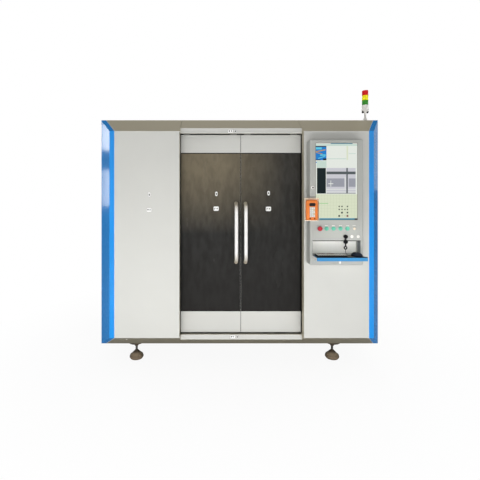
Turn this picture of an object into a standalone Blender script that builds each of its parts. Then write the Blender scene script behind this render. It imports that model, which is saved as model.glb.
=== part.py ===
"""Enclosed fibre laser cutting machine with sliding doors, operator console and signal tower.

Metres, +Z up. The front looks along -Y, +X is to the right, and the floor is at Z = 0.
"""
import math

import bmesh
import bpy
from mathutils import Matrix, Vector

# Sheet, seams and fits
SHEET = 0.003
THIN_SHEET = 0.002
SEAM = 0.002
FIT = 0.0003
RUNNING_GAP = 0.002
OVERRUN = 0.02

# Enclosure
BODY_WIDTH = 2.570
ROOF_Z = 2.242
BODY_BOTTOM_Z = 0.167
BODY_DEPTH = 1.950
NOSE_DEPTH = 0.235
NOSE_INSET = 0.147
TRIM_WIDTH = 0.044

# Door bay
SIDE_WIDTH = 0.750
STRIP_SETBACK = 0.060
TOP_STRIP_DROP = 0.157
BOTTOM_STRIP_TOP_Z = 0.321
STRIP_RETURN = 0.015
DOOR_SETBACK = 0.105
DOOR_THICKNESS = 0.040
DOOR_BOTTOM_Z = 0.324
DOOR_TOP_DROP = 0.161
DOOR_MEETING_GAP = 0.004
DOOR_SIDE_LAP = 0.006
DOOR_END_REST = 0.065
WINDOW_BOTTOM_Z = 0.510
WINDOW_TOP_DROP = 0.322
WINDOW_MEETING_MARGIN = 0.0035
WINDOW_OUTER_MARGIN = 0.002
WINDOW_RECESS = 0.0015
WINDOW_THICKNESS = 0.008
WINDOW_LEDGE = 0.020
HANDLE_X = 0.042
HANDLE_Z = 1.210
HANDLE_LENGTH = 0.520
HANDLE_REACH = 0.058
HANDLE_RADIUS = 0.0155
HANDLE_FLARE = 0.055
BRACKET_WIDTH = 0.060
BRACKET_THICKNESS = 0.005
BRACKET_LAP = 0.050
CARRIAGE_WIDTH = 0.050
CARRIAGE_HEIGHT = 0.052
CARRIAGE_DEPTH = 0.022
RAIL_WIDTH = 0.020
RAIL_HEIGHT = 0.018
RAIL_DROP = 0.112
GUIDE_FIN_THICKNESS = 0.010
GUIDE_FIN_LENGTH = 0.080
GUIDE_FIN_DROP = 0.022
GUIDE_WIDTH = 0.024
GUIDE_HEIGHT = 0.022
GUIDE_FLOOR = 0.004

# Frames
TUBE_HEIGHT = 0.080
TUBE_WIDTH = 0.060
POST_WIDTH = 0.050
FRAME_MARGIN = 0.0035
INNER_TUBE_INSET = 0.385
BED_INSET = 0.585
BED_BEAM_HEIGHT = 0.100
BED_TOP_Z = 0.920
BED_FRONT_SETBACK = 0.300
BED_REAR_SETBACK = 0.110
CROSS_TUBE_Z = 0.800
SILL_HEIGHT = 0.050
RUNNER_WIDTH = 0.040

# Levelling feet
FOOT_INSET = 0.355
FOOT_SHIFT = 0.045
FOOT_PLATE_WIDTH = 0.100
FOOT_SETBACK = 0.310
PAD_RADIUS = 0.064
STUD_RADIUS = 0.0095
FLANGE_RADIUS = 0.073
FOOT_HEIGHT = 0.1697
FOOT_SEGMENTS = 16
PAD_SHARES = ((0.0, 0.0), (0.86, 0.0), (1.0, 0.08), (0.92, 0.20), (0.42, 0.38))
STUD_SHARES = ((1.0, 0.48), (1.0, 0.70), (1.9, 0.70), (1.9, 0.77))
FLANGE_SHARES = ((0.8, 0.86), (1.0, 0.90), (1.0, 1.0), (0.0, 1.0))

# Chamber and motion
WALL_INSET = 0.425
WALL_BOTTOM_Z = 0.330
Y_RAIL_WIDTH = 0.022
Y_RAIL_HEIGHT = 0.020
GANTRY_REAR_SETBACK = 0.310
GANTRY_DEPTH = 0.140
GANTRY_HEIGHT = 0.150
RIDER_LENGTH = 0.160
RIDER_HEIGHT = 0.046
X_RAIL_HEIGHT = 0.020
X_RAIL_DEPTH = 0.014
CARRIAGE_PLATE_WIDTH = 0.220
CARRIAGE_PLATE_THICKNESS = 0.016
Z_SLIDE_WIDTH = 0.090
Z_SLIDE_DEPTH = 0.060
Z_SLIDE_HEIGHT = 0.360
HEAD_RADIUS = 0.032
HEAD_LENGTH = 0.150
NOZZLE_RADIUS = 0.008
HEAD_REST_GAP = 0.090
NOZZLE_SHARES = ((0.0, 0.0), (0.5, 0.0), (1.0, 0.10), (2.0, 0.16), (2.0, 0.26))
HEAD_SHARES = ((1.0, 0.42), (1.0, 1.6), (0.7, 1.75), (0.4, 1.75), (0.4, 2.0), (0.0, 2.0))
SLIDE_FOOT_SHARE = 0.8
X_RAIL_SHARES = (0.18, 0.82)
TURNED_SEGMENTS = 20

# Slat table
TABLE_BED_GAP = 0.100
TABLE_SETBACK = 0.340
TABLE_REAR_SETBACK = 0.490
TABLE_RAIL_WIDTH = 0.030
TABLE_RAIL_HEIGHT = 0.060
SLAT_COUNT = 9
SLAT_THICKNESS = 0.003
SLAT_HEIGHT = 0.070
TOOTH_COUNT = 12
TOOTH_HEIGHT = 0.028
TOOTH_TIP_SHARE = 0.12

# Scrap drawer
DRAWER_BED_GAP = 0.170
DRAWER_FRONT_SETBACK = 0.500
DRAWER_HEIGHT = 0.170
DRAWER_FRONT_LAP = 0.025
DRAWER_GRIP_LENGTH = 0.160
DRAWER_GRIP_HEIGHT = 0.030
DRAWER_CLEARANCE = 0.006

# Rear and side panels
LOUVRE_WIDTH = 0.180
LOUVRE_HEIGHT = 0.022
LOUVRE_REACH = 0.012
LOUVRE_PITCH = 0.050
LOUVRE_COUNT = 6
LOUVRE_Z = 0.480
REAR_LOUVRE_INSET = 0.355
DUCT_RADIUS = 0.100
DUCT_LENGTH = 0.080
DUCT_INSET = 0.785
DUCT_DROP = 0.392
DUCT_FLANGE = 0.030

# Units inside the side bays
SOURCE_WIDTH = 0.340
SOURCE_DEPTH = 0.700
SOURCE_HEIGHT = 0.380
SOURCE_SETBACK = 0.600
CABINET_WIDTH = 0.340
CABINET_REAR_SETBACK = 0.450
CABINET_HEIGHT = 1.300
CABINET_SETBACK = 0.500
CABINET_DOOR_LAP = 0.020

# Signal tower
TOWER_INSET = 0.089
TOWER_SETBACK = 0.300
TOWER_RADIUS = 0.029
TOWER_HEIGHT = 0.295
LENS_HEIGHT = 0.046
TOWER_BASE_HEIGHT = 0.054
NECK_RADIUS = 0.009
KNUCKLE_RADIUS = 0.020
KNUCKLE_HEIGHT = 0.036
KNUCKLE_SHARES = ((0.0, 0.0), (1.15, 0.0), (1.15, 0.15), (0.9, 0.2), (0.8, 0.8))
NECK_SHARES = ((1.2, 1.0), (1.0, 1.05))
SKIRT_SHARES = ((0.62, -0.2), (1.08, 0.0), (1.08, 0.2), (1.0, 0.3))
LENS_RING_SHARE = 0.07

# Console
CONSOLE_INSET = 0.282
CONSOLE_WIDTH = 0.446
CONSOLE_DROP = 0.234
CONSOLE_HEIGHT = 1.048
CONSOLE_DEPTH = 0.105
CONSOLE_GAP = 0.004
CONSOLE_RADIUS = 0.014
SCREEN_INSET = 0.047
SCREEN_WIDTH = 0.349
SCREEN_RISE = 0.377
SCREEN_HEIGHT = 0.638
MONITOR_MARGIN = 0.012
MONITOR_THICKNESS = 0.038
APERTURE_MARGIN = 0.045
LOCK_INSET = 0.024
LOCK_RISE = 0.646
LOCK_RADIUS = 0.014
LOCK_SHAFT_RADIUS = 0.008
HINGE_RADIUS = 0.007
HINGE_PIN_RADIUS = 0.003
HINGE_OFFSET = 0.010
KNUCKLE_LENGTH = 0.034
HINGE_HEIGHT_SHARES = (0.14, 0.86)

# Button plate
PLATE_INSET = 0.033
PLATE_WIDTH = 0.380
PLATE_RISE = 0.275
PLATE_HEIGHT = 0.060
PLATE_THICKNESS = 0.002
BUTTON_RISE = 0.3055
E_STOP_INSET = 0.079
FIRST_BUTTON_INSET = 0.137
BUTTON_PITCH = 0.058
BUTTON_COUNT = 4
BUTTON_RADIUS = 0.0125
BEZEL_RADIUS = 0.0165
BEZEL_HEIGHT = 0.005
BUTTON_HEIGHT = 0.009
BUTTON_TRAVEL = 0.003
BUTTON_STEM_RADIUS = 0.0095
STEM_LENGTH = 0.030
E_STOP_RADIUS = 0.020
E_STOP_HEIGHT = 0.026
E_STOP_TRAVEL = 0.005
KEY_SWITCH_INSET = 0.366
KEY_SWITCH_RADIUS = 0.011

# Lower row of sockets
SOCKET_ROW_RISE = 0.239
SOCKET_RADIUS = 0.011
SOCKET_REACH = 0.004
PLUG_INSET = 0.294
RIGHT_SOCKET_INSETS = (0.348, 0.400)
PLUG_HEAD_RADIUS = 0.0165
PLUG_HEAD_DEPTH = 0.020
PLUG_BODY_RADIUS = 0.0175
PLUG_BODY_DROP = 0.042
PLUG_BODY_DEPTH = 0.017
PLUG_NECK_RADIUS = 0.006
PLUG_RING_RADIUS = 0.015
PLUG_RING_DEPTH = 0.007
PLUG_RING_DROP = 0.092
PLUG_STEM_RADIUS = 0.007

# Keyboard recess and tray
RECESS_INSET = 0.022
RECESS_WIDTH = 0.399
RECESS_RISE = 0.086
RECESS_HEIGHT = 0.116
RECESS_DEPTH = 0.090
TRAY_INSET = 0.021
TRAY_WIDTH = 0.405
TRAY_REACH = 0.124
TRAY_LIP = 0.027
TRAY_BARREL_RADIUS = 0.0035
TRAY_PIN_RADIUS = 0.0015
TRAY_LUG_WIDTH = 0.006
TRAY_LUG_HEIGHT = 0.010
TRAY_MAT_THICKNESS = 0.001
KEYBOARD_INSET = 0.035
KEYBOARD_WIDTH = 0.236
KEYBOARD_DEPTH = 0.098
KEYBOARD_THICKNESS = 0.012
KEY_ROWS = 5
KEY_COLUMNS = 14
KEY_HEIGHT = 0.004
KEY_GAP_SHARE = 0.16
MOUSE_INSET = 0.365
MOUSE_LENGTH = 0.100
MOUSE_WIDTH = 0.060
MOUSE_HEIGHT = 0.036
MOUSE_REACH = 0.058
MOUSE_TURN = 35.0
LEAD_RADIUS = 0.0018
LATCH_INSET = 0.208
LATCH_RADIUS = 0.008
LATCH_HEIGHT = 0.024

# Remote and its holder
HOLDER_OVERHANG = 0.049
HOLDER_WIDTH = 0.118
HOLDER_RISE = 0.370
HOLDER_HEIGHT = 0.190
HOLDER_DEPTH = 0.026
HOLDER_WALL = 0.003
REMOTE_WIDTH = 0.098
REMOTE_HEIGHT = 0.168
REMOTE_DEPTH = 0.034
REMOTE_ROUNDING = 0.016

# Positions worked out from the sizes above
HALF_WIDTH = BODY_WIDTH / 2
HALF_BAY = HALF_WIDTH - SIDE_WIDTH
DOOR_TRAVEL = HALF_BAY - DOOR_END_REST
FRONT_HALF_WIDTH = HALF_WIDTH - NOSE_INSET
FRONT_TOP_Z = ROOF_Z - NOSE_INSET
FRONT_BOTTOM_Z = BODY_BOTTOM_Z + NOSE_INSET
TOP_STRIP_BOTTOM_Z = ROOF_Z - TOP_STRIP_DROP
DOOR_TOP_Z = ROOF_Z - DOOR_TOP_DROP
WINDOW_TOP_Z = ROOF_Z - WINDOW_TOP_DROP
RAIL_Z = ROOF_Z - RAIL_DROP
DUCT_Z = ROOF_Z - DUCT_DROP
TOWER_TOP_Z = ROOF_Z + TOWER_HEIGHT
CONSOLE_TOP_Z = ROOF_Z - CONSOLE_DROP
CONSOLE_BOTTOM_Z = CONSOLE_TOP_Z - CONSOLE_HEIGHT
SCREEN_BOTTOM_Z = CONSOLE_BOTTOM_Z + SCREEN_RISE
LOCK_Z = CONSOLE_BOTTOM_Z + LOCK_RISE
PLATE_BOTTOM_Z = CONSOLE_BOTTOM_Z + PLATE_RISE
BUTTON_Z = CONSOLE_BOTTOM_Z + BUTTON_RISE
SOCKET_ROW_Z = CONSOLE_BOTTOM_Z + SOCKET_ROW_RISE
RECESS_BOTTOM_Z = CONSOLE_BOTTOM_Z + RECESS_RISE
HOLDER_BOTTOM_Z = CONSOLE_BOTTOM_Z + HOLDER_RISE
TOTAL_DEPTH = CONSOLE_DEPTH + TRAY_REACH + BODY_DEPTH + DUCT_LENGTH
FRONT_Y = CONSOLE_DEPTH + TRAY_REACH - TOTAL_DEPTH / 2
REAR_Y = FRONT_Y + BODY_DEPTH
NOSE_BACK_Y = FRONT_Y + NOSE_DEPTH
STRIP_Y = FRONT_Y + STRIP_SETBACK
DOOR_Y = FRONT_Y + DOOR_SETBACK
DOOR_BACK_Y = DOOR_Y + DOOR_THICKNESS
CONSOLE_Y = FRONT_Y - CONSOLE_DEPTH
CONSOLE_BACK_Y = FRONT_Y - CONSOLE_GAP
CARRIAGE_BACK_Y = DOOR_BACK_Y + BRACKET_THICKNESS + CARRIAGE_DEPTH
RAIL_FRONT_Y = CARRIAGE_BACK_Y - RAIL_HEIGHT / 2
HEADER_Y = RAIL_FRONT_Y + RAIL_HEIGHT + FIT
FRAME_HALF_WIDTH = HALF_WIDTH - FRAME_MARGIN
FRAME_BOTTOM_Z = BODY_BOTTOM_Z + FRAME_MARGIN
FRAME_TOP_Z = ROOF_Z - FRAME_MARGIN
FRAME_FRONT_Y = NOSE_BACK_Y + RUNNING_GAP / 2
PANEL_FRONT_Y = NOSE_BACK_Y + SHEET
FRAME_REAR_Y = REAR_Y - FRAME_MARGIN
TUBE_TOP_Z = FRAME_BOTTOM_Z + TUBE_HEIGHT
BED_FRONT_Y = FRONT_Y + BED_FRONT_SETBACK
BED_REAR_Y = REAR_Y - BED_REAR_SETBACK
BED_X = HALF_WIDTH - BED_INSET
INNER_TUBE_X = HALF_WIDTH - INNER_TUBE_INSET
WALL_X = HALF_WIDTH - WALL_INSET
LEFT_FOOT_X = FOOT_INSET - HALF_WIDTH - FOOT_SHIFT
RIGHT_FOOT_X = HALF_WIDTH - FOOT_INSET - FOOT_SHIFT
FRONT_FOOT_Y = FRONT_Y + FOOT_SETBACK
REAR_FOOT_Y = REAR_Y - FOOT_SETBACK / 2
TABLE_FRONT_Y = FRONT_Y + TABLE_SETBACK
TABLE_REAR_Y = REAR_Y - TABLE_REAR_SETBACK
TABLE_HALF_WIDTH = BED_X - TABLE_BED_GAP
GANTRY_Y = REAR_Y - GANTRY_REAR_SETBACK
RIDER_Z = BED_TOP_Z + FIT + Y_RAIL_HEIGHT / 2
GANTRY_BOTTOM_Z = RIDER_Z + RIDER_HEIGHT
DRAWER_BOTTOM_Z = TUBE_TOP_Z + SHEET + FIT
DRAWER_TOP_Z = DRAWER_BOTTOM_Z + DRAWER_HEIGHT
DRAWER_HALF_WIDTH = BED_X - DRAWER_BED_GAP
DUCT_X = DUCT_INSET - HALF_WIDTH
TOWER_X = HALF_WIDTH - TOWER_INSET
CONSOLE_RIGHT = HALF_WIDTH - CONSOLE_INSET
CONSOLE_LEFT = CONSOLE_RIGHT - CONSOLE_WIDTH
SCREEN_LEFT = CONSOLE_LEFT + SCREEN_INSET
LOCK_X = CONSOLE_LEFT + LOCK_INSET
PLATE_LEFT = CONSOLE_LEFT + PLATE_INSET
E_STOP_X = CONSOLE_LEFT + E_STOP_INSET
FIRST_BUTTON_X = CONSOLE_LEFT + FIRST_BUTTON_INSET
KEY_SWITCH_X = CONSOLE_LEFT + KEY_SWITCH_INSET
PLUG_X = CONSOLE_LEFT + PLUG_INSET
RECESS_LEFT = CONSOLE_LEFT + RECESS_INSET
TRAY_LEFT = CONSOLE_LEFT + TRAY_INSET
KEYBOARD_LEFT = CONSOLE_LEFT + KEYBOARD_INSET
MOUSE_X = CONSOLE_LEFT + MOUSE_INSET
LATCH_X = CONSOLE_LEFT + LATCH_INSET
HOLDER_LEFT = CONSOLE_LEFT - HOLDER_OVERHANG
TRAY_AXIS_Y = CONSOLE_Y - TRAY_BARREL_RADIUS - 2 * FIT
TRAY_TOP_Z = RECESS_BOTTOM_Z - THIN_SHEET
TRAY_AXIS_Z = TRAY_TOP_Z - TRAY_BARREL_RADIUS - FIT
HINGE_X = CONSOLE_RIGHT + HINGE_OFFSET
HINGE_Y = FRONT_Y - HINGE_RADIUS - 2 * FIT

# Colours as red, green, blue
LIGHT_GREY = (0.70, 0.70, 0.68)
TAUPE = (0.30, 0.27, 0.22)
BLUE = (0.03, 0.25, 0.75)
BLACK = (0.02, 0.02, 0.02)
DARK_GLASS = (0.03, 0.03, 0.03)
STEEL = (0.55, 0.55, 0.55)
DARK_STEEL = (0.12, 0.12, 0.12)
FRAME_GREY = (0.25, 0.26, 0.27)
WHITE = (0.85, 0.85, 0.83)
CREAM = (0.80, 0.74, 0.62)
RED = (0.70, 0.03, 0.03)
YELLOW = (0.85, 0.60, 0.05)
GREEN = (0.02, 0.60, 0.25)
ORANGE = (0.85, 0.30, 0.06)


def clear_scene():
    """Remove the objects that the file opened with."""
    for item in list(bpy.data.objects):
        bpy.data.objects.remove(item)


clear_scene()
MACHINE = bpy.data.collections.new("fiber_laser_cutting_machine")
bpy.context.scene.collection.children.link(MACHINE)


def paint(item, colour, roughness=0.4, metallic=0.0):
    """Give an object its own material."""
    material = bpy.data.materials.new(item.name + "_finish")
    material.use_nodes = True
    shader = material.node_tree.nodes["Principled BSDF"]
    shader.inputs["Base Color"].default_value = (*colour, 1.0)
    shader.inputs["Roughness"].default_value = roughness
    shader.inputs["Metallic"].default_value = metallic
    item.data.materials.clear()
    item.data.materials.append(material)


def object_from(name, shape):
    """Make an object of a bmesh, in the machine's collection."""
    mesh = bpy.data.meshes.new(name)
    bmesh.ops.recalc_face_normals(shape, faces=shape.faces)
    shape.to_mesh(mesh)
    shape.free()
    item = bpy.data.objects.new(name, mesh)
    MACHINE.objects.link(item)
    return item


def add_block(shape, low, high):
    """Add a box between two corners to a bmesh."""
    low = Vector(low)
    high = Vector(high)
    size = Matrix.Diagonal((*(high - low), 1.0))
    place = Matrix.Translation((low + high) / 2)
    return bmesh.ops.create_cube(shape, size=1.0, matrix=place @ size)["verts"]


def block(name, low, high):
    """A box between two corners."""
    shape = bmesh.new()
    add_block(shape, low, high)
    return object_from(name, shape)


def blocks(name, corners):
    """Several boxes that don't meet, in one object, to cut or join with."""
    shape = bmesh.new()
    for low, high in corners:
        add_block(shape, low, high)
    return object_from(name, shape)


def bake(item):
    """Keep an object's evaluated shape as its mesh."""
    bpy.context.view_layer.update()
    graph = bpy.context.evaluated_depsgraph_get()
    mesh = bpy.data.meshes.new_from_object(item.evaluated_get(graph))
    item.modifiers.clear()
    item.data = mesh


def combine(item, tools, operation):
    """Join the tools to an object, or cut them from it, and remove them."""
    for tool in tools:
        modifier = item.modifiers.new(operation.title(), "BOOLEAN")
        modifier.operation = operation
        modifier.object = tool
        modifier.solver = "EXACT"
    bake(item)
    for tool in tools:
        bpy.data.objects.remove(tool)
    return item


def join(item, *tools):
    """One body of an object and the shapes that meet it."""
    return combine(item, tools, "UNION")


def cut(item, *tools):
    """Cut shapes from an object."""
    return combine(item, tools, "DIFFERENCE")


def soften(item, width, segments=2, angle=60.0):
    """Round the sharp edges of an object."""
    modifier = item.modifiers.new("Bevel", "BEVEL")
    modifier.width = width
    modifier.segments = segments
    modifier.limit_method = "ANGLE"
    modifier.angle_limit = math.radians(angle)
    bake(item)
    return item


def smooth(item, angle=35.0):
    """Shade round faces smooth and leave the folds sharp."""
    item.data.shade_smooth()
    item.data.set_sharp_from_angle(angle=math.radians(angle))
    return item


def shaped(shares, radius, height, base=0.0):
    """Outline points from shares of a radius and of a height above a base."""
    return [(across * radius, base + up * height) for across, up in shares]


def turned(name, outline, centre, axis="Z", segments=TURNED_SEGMENTS):
    """Turn a closed outline of (radius, height) points about an axis through a centre."""
    shape = bmesh.new()
    points = [shape.verts.new((radius, 0.0, height)) for radius, height in outline]
    edges = [shape.edges.new(pair) for pair in zip(points, points[1:])]
    bmesh.ops.spin(
        shape, geom=points + edges, axis=(0.0, 0.0, 1.0), cent=(0.0, 0.0, 0.0),
        angle=math.tau, steps=segments, use_merge=True)
    bmesh.ops.remove_doubles(shape, verts=shape.verts, dist=FIT / 10)
    if axis == "Y":
        bmesh.ops.rotate(shape, verts=shape.verts, matrix=Matrix.Rotation(math.radians(90), 3, "X"))
    if axis == "X":
        bmesh.ops.rotate(shape, verts=shape.verts, matrix=Matrix.Rotation(math.radians(90), 3, "Y"))
    bmesh.ops.translate(shape, verts=shape.verts, vec=centre)
    return smooth(object_from(name, shape))


def rod(name, radius, start, length, axis="Z", segments=TURNED_SEGMENTS):
    """A solid cylinder from a start point along an axis; along Y it grows towards the front."""
    outline = [(0.0, 0.0), (radius, 0.0), (radius, length), (0.0, length)]
    return turned(name, outline, start, axis, segments)


def open_sheet(name, shape, thickness):
    """Thicken an open surface inward from its outer side and make an object of it."""
    mesh = bpy.data.meshes.new(name)
    shape.to_mesh(mesh)
    shape.free()
    item = bpy.data.objects.new(name, mesh)
    MACHINE.objects.link(item)
    modifier = item.modifiers.new("Solidify", "SOLIDIFY")
    modifier.thickness = thickness
    modifier.offset = -1.0
    modifier.use_even_offset = True
    bake(item)
    return item


def folded(name, profile, left, right, thickness=SHEET):
    """A sheet folded to a (y, z) profile; its outer side is in front of a walk upwards."""
    shape = bmesh.new()
    points = [shape.verts.new((left, y, z)) for y, z in profile]
    edges = [shape.edges.new(pair) for pair in zip(points, points[1:])]
    moved = bmesh.ops.extrude_edge_only(shape, edges=edges)["geom"]
    ends = [piece for piece in moved if isinstance(piece, bmesh.types.BMVert)]
    bmesh.ops.translate(shape, verts=ends, vec=(right - left, 0.0, 0.0))
    shape.normal_update()
    outward = Vector((1.0, 0.0, 0.0)).cross(points[1].co - points[0].co)
    if points[0].link_faces[0].normal.dot(outward) < 0.0:
        bmesh.ops.reverse_faces(shape, faces=shape.faces)
    return open_sheet(name, shape, thickness)


def extruded(name, outline, plane, start, thickness):
    """A flat outline with a thickness; its plane is XZ (start is a Y) or YZ (start is an X)."""
    shape = bmesh.new()
    if plane == "XZ":
        points = [shape.verts.new((u, start, v)) for u, v in outline]
        step = (0.0, thickness, 0.0)
    else:
        points = [shape.verts.new((start, u, v)) for u, v in outline]
        step = (thickness, 0.0, 0.0)
    face = shape.faces.new(points)
    moved = bmesh.ops.extrude_face_region(shape, geom=[face])["geom"]
    ends = [piece for piece in moved if isinstance(piece, bmesh.types.BMVert)]
    bmesh.ops.translate(shape, verts=ends, vec=step)
    return object_from(name, shape)


def mirrored(item, name):
    """A copy of an object on the other side of the machine's middle plane."""
    shape = bmesh.new()
    shape.from_mesh(item.data)
    bmesh.ops.scale(shape, vec=(-1.0, 1.0, 1.0), verts=shape.verts)
    bmesh.ops.reverse_faces(shape, faces=shape.faces)
    copy = object_from(name, shape)
    return smooth(copy)


def set_origin(item, point):
    """Move an object's origin and leave its shape where it is."""
    point = Vector(point)
    item.data.transform(Matrix.Translation(item.location - point))
    item.location = point


def carry(parent, *children):
    """Parent pieces to the one that carries them, where they are."""
    bpy.context.view_layer.update()
    for child in children:
        child.parent = parent
        child.matrix_parent_inverse = parent.matrix_world.inverted()


def nose_shell(name, cuts):
    """A piece of the tapered nose: (point, normal) planes bound it, each normal pointing out."""
    shape = bmesh.new()
    low = (-HALF_WIDTH, FRONT_Y, BODY_BOTTOM_Z)
    high = (HALF_WIDTH, NOSE_BACK_Y, ROOF_Z)
    add_block(shape, low, high)
    middle_z = (ROOF_Z + BODY_BOTTOM_Z) / 2
    for corner in shape.verts:
        if corner.co.y < (FRONT_Y + NOSE_BACK_Y) / 2:
            corner.co.x -= math.copysign(NOSE_INSET, corner.co.x)
            corner.co.z -= math.copysign(NOSE_INSET, corner.co.z - middle_z)
    shape.normal_update()
    back = [face for face in shape.faces if face.normal.y > 0.9]
    bmesh.ops.delete(shape, geom=back, context="FACES")
    for point, normal in cuts:
        everything = shape.verts[:] + shape.edges[:] + shape.faces[:]
        bmesh.ops.bisect_plane(
            shape, geom=everything, dist=FIT / 100, plane_co=point, plane_no=normal, clear_outer=True)
    return open_sheet(name, shape, SHEET)


def trim_plane(offset):
    """The parting plane beside a right corner trim, parallel to the side chamfer."""
    point = (FRONT_HALF_WIDTH - TRIM_WIDTH + offset, FRONT_Y, 0.0)
    normal = Vector((NOSE_DEPTH, -NOSE_INSET, 0.0)).normalized()
    return point, normal


def build_nose():
    """Blue corner trims and grey front covers; the right cover has the console's aperture."""
    point, normal = trim_plane(SEAM / 2)
    right_trim = nose_shell("right_trim", [(point, -normal)])
    paint(right_trim, BLUE, 0.25)
    left_trim = mirrored(right_trim, "left_trim")
    paint(left_trim, BLUE, 0.25)

    point, normal = trim_plane(-SEAM / 2)
    bay_edge = ((HALF_BAY + SEAM / 2, 0.0, 0.0), (-1.0, 0.0, 0.0))
    right_cover = nose_shell("right_front_cover", [(point, normal), bay_edge])
    flange = block(
        "flange", (HALF_BAY + SEAM / 2 + FIT, FRONT_Y + SHEET / 2, FRONT_BOTTOM_Z + SHEET * 2),
        (HALF_BAY + SEAM / 2 + SHEET, DOOR_Y - RUNNING_GAP, FRONT_TOP_Z - SHEET * 2))
    join(right_cover, flange)
    left_cover = mirrored(right_cover, "left_front_cover")
    paint(left_cover, LIGHT_GREY)

    aperture = block(
        "aperture", (SCREEN_LEFT + APERTURE_MARGIN, FRONT_Y - OVERRUN, SCREEN_BOTTOM_Z + APERTURE_MARGIN),
        (SCREEN_LEFT + SCREEN_WIDTH - APERTURE_MARGIN, FRONT_Y + OVERRUN,
         SCREEN_BOTTOM_Z + SCREEN_HEIGHT - APERTURE_MARGIN))
    cut(right_cover, aperture)
    for base_z in hinge_heights():
        join(right_cover, *fixed_hinge_half(base_z))
    paint(right_cover, LIGHT_GREY)


def hinge_heights():
    """Where the console's two lift-off hinges part."""
    height = CONSOLE_TOP_Z - CONSOLE_BOTTOM_Z
    return [CONSOLE_BOTTOM_Z + share * height for share in HINGE_HEIGHT_SHARES]


def fixed_hinge_half(base_z):
    """Lower knuckle with its pin and its leaf down to the cover."""
    outline = [
        (0.0, -KNUCKLE_LENGTH), (HINGE_RADIUS, -KNUCKLE_LENGTH), (HINGE_RADIUS, 0.0),
        (HINGE_PIN_RADIUS, 0.0), (HINGE_PIN_RADIUS, KNUCKLE_LENGTH * 0.8), (0.0, KNUCKLE_LENGTH * 0.8)]
    knuckle = turned("knuckle", outline, (HINGE_X, HINGE_Y, base_z), segments=12)
    leaf = block(
        "leaf", (HINGE_X + HINGE_RADIUS * 0.1, HINGE_Y, base_z - KNUCKLE_LENGTH * 0.95),
        (HINGE_X + HINGE_RADIUS * 0.8, FRONT_Y + SHEET / 2, base_z - KNUCKLE_LENGTH * 0.05))
    return knuckle, leaf


def moving_hinge_half(base_z):
    """Upper knuckle, bored for the pin, with its leaf to the console's flank."""
    foot = base_z + FIT
    bore = HINGE_PIN_RADIUS + FIT
    outline = [
        (bore, foot), (HINGE_RADIUS, foot), (HINGE_RADIUS, foot + KNUCKLE_LENGTH),
        (bore, foot + KNUCKLE_LENGTH), (bore, foot)]
    knuckle = turned("knuckle", outline, (HINGE_X, HINGE_Y, 0.0), segments=12)
    leaf = block(
        "leaf",
        (CONSOLE_RIGHT - THIN_SHEET / 2, HINGE_Y - HINGE_RADIUS * 0.9, foot + KNUCKLE_LENGTH * 0.05),
        (HINGE_X - HINGE_RADIUS * 0.2, HINGE_Y - HINGE_RADIUS * 0.55, foot + KNUCKLE_LENGTH * 0.95))
    return knuckle, leaf


def chamfer_z(setback, top):
    """Height of the top or bottom chamfer at a distance behind the front plane."""
    rise = setback / NOSE_DEPTH * NOSE_INSET
    if top:
        return FRONT_TOP_Z + rise
    return FRONT_BOTTOM_Z - rise


def build_track_covers():
    """Folded sheets across the bay: a sloping fascia and the strip in front of the door tracks."""
    left = -HALF_BAY + SEAM / 2
    right = HALF_BAY - SEAM / 2
    top = folded("top_track_cover", [
        (STRIP_Y + STRIP_RETURN, TOP_STRIP_BOTTOM_Z),
        (STRIP_Y, TOP_STRIP_BOTTOM_Z),
        (STRIP_Y, chamfer_z(STRIP_SETBACK, True)),
        (NOSE_BACK_Y, ROOF_Z)], left, right)
    paint(top, TAUPE)
    bottom = folded("bottom_track_cover", [
        (NOSE_BACK_Y, BODY_BOTTOM_Z),
        (STRIP_Y, chamfer_z(STRIP_SETBACK, False)),
        (STRIP_Y, BOTTOM_STRIP_TOP_Z),
        (STRIP_Y + STRIP_RETURN, BOTTOM_STRIP_TOP_Z)], left, right)
    paint(bottom, TAUPE)


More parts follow.
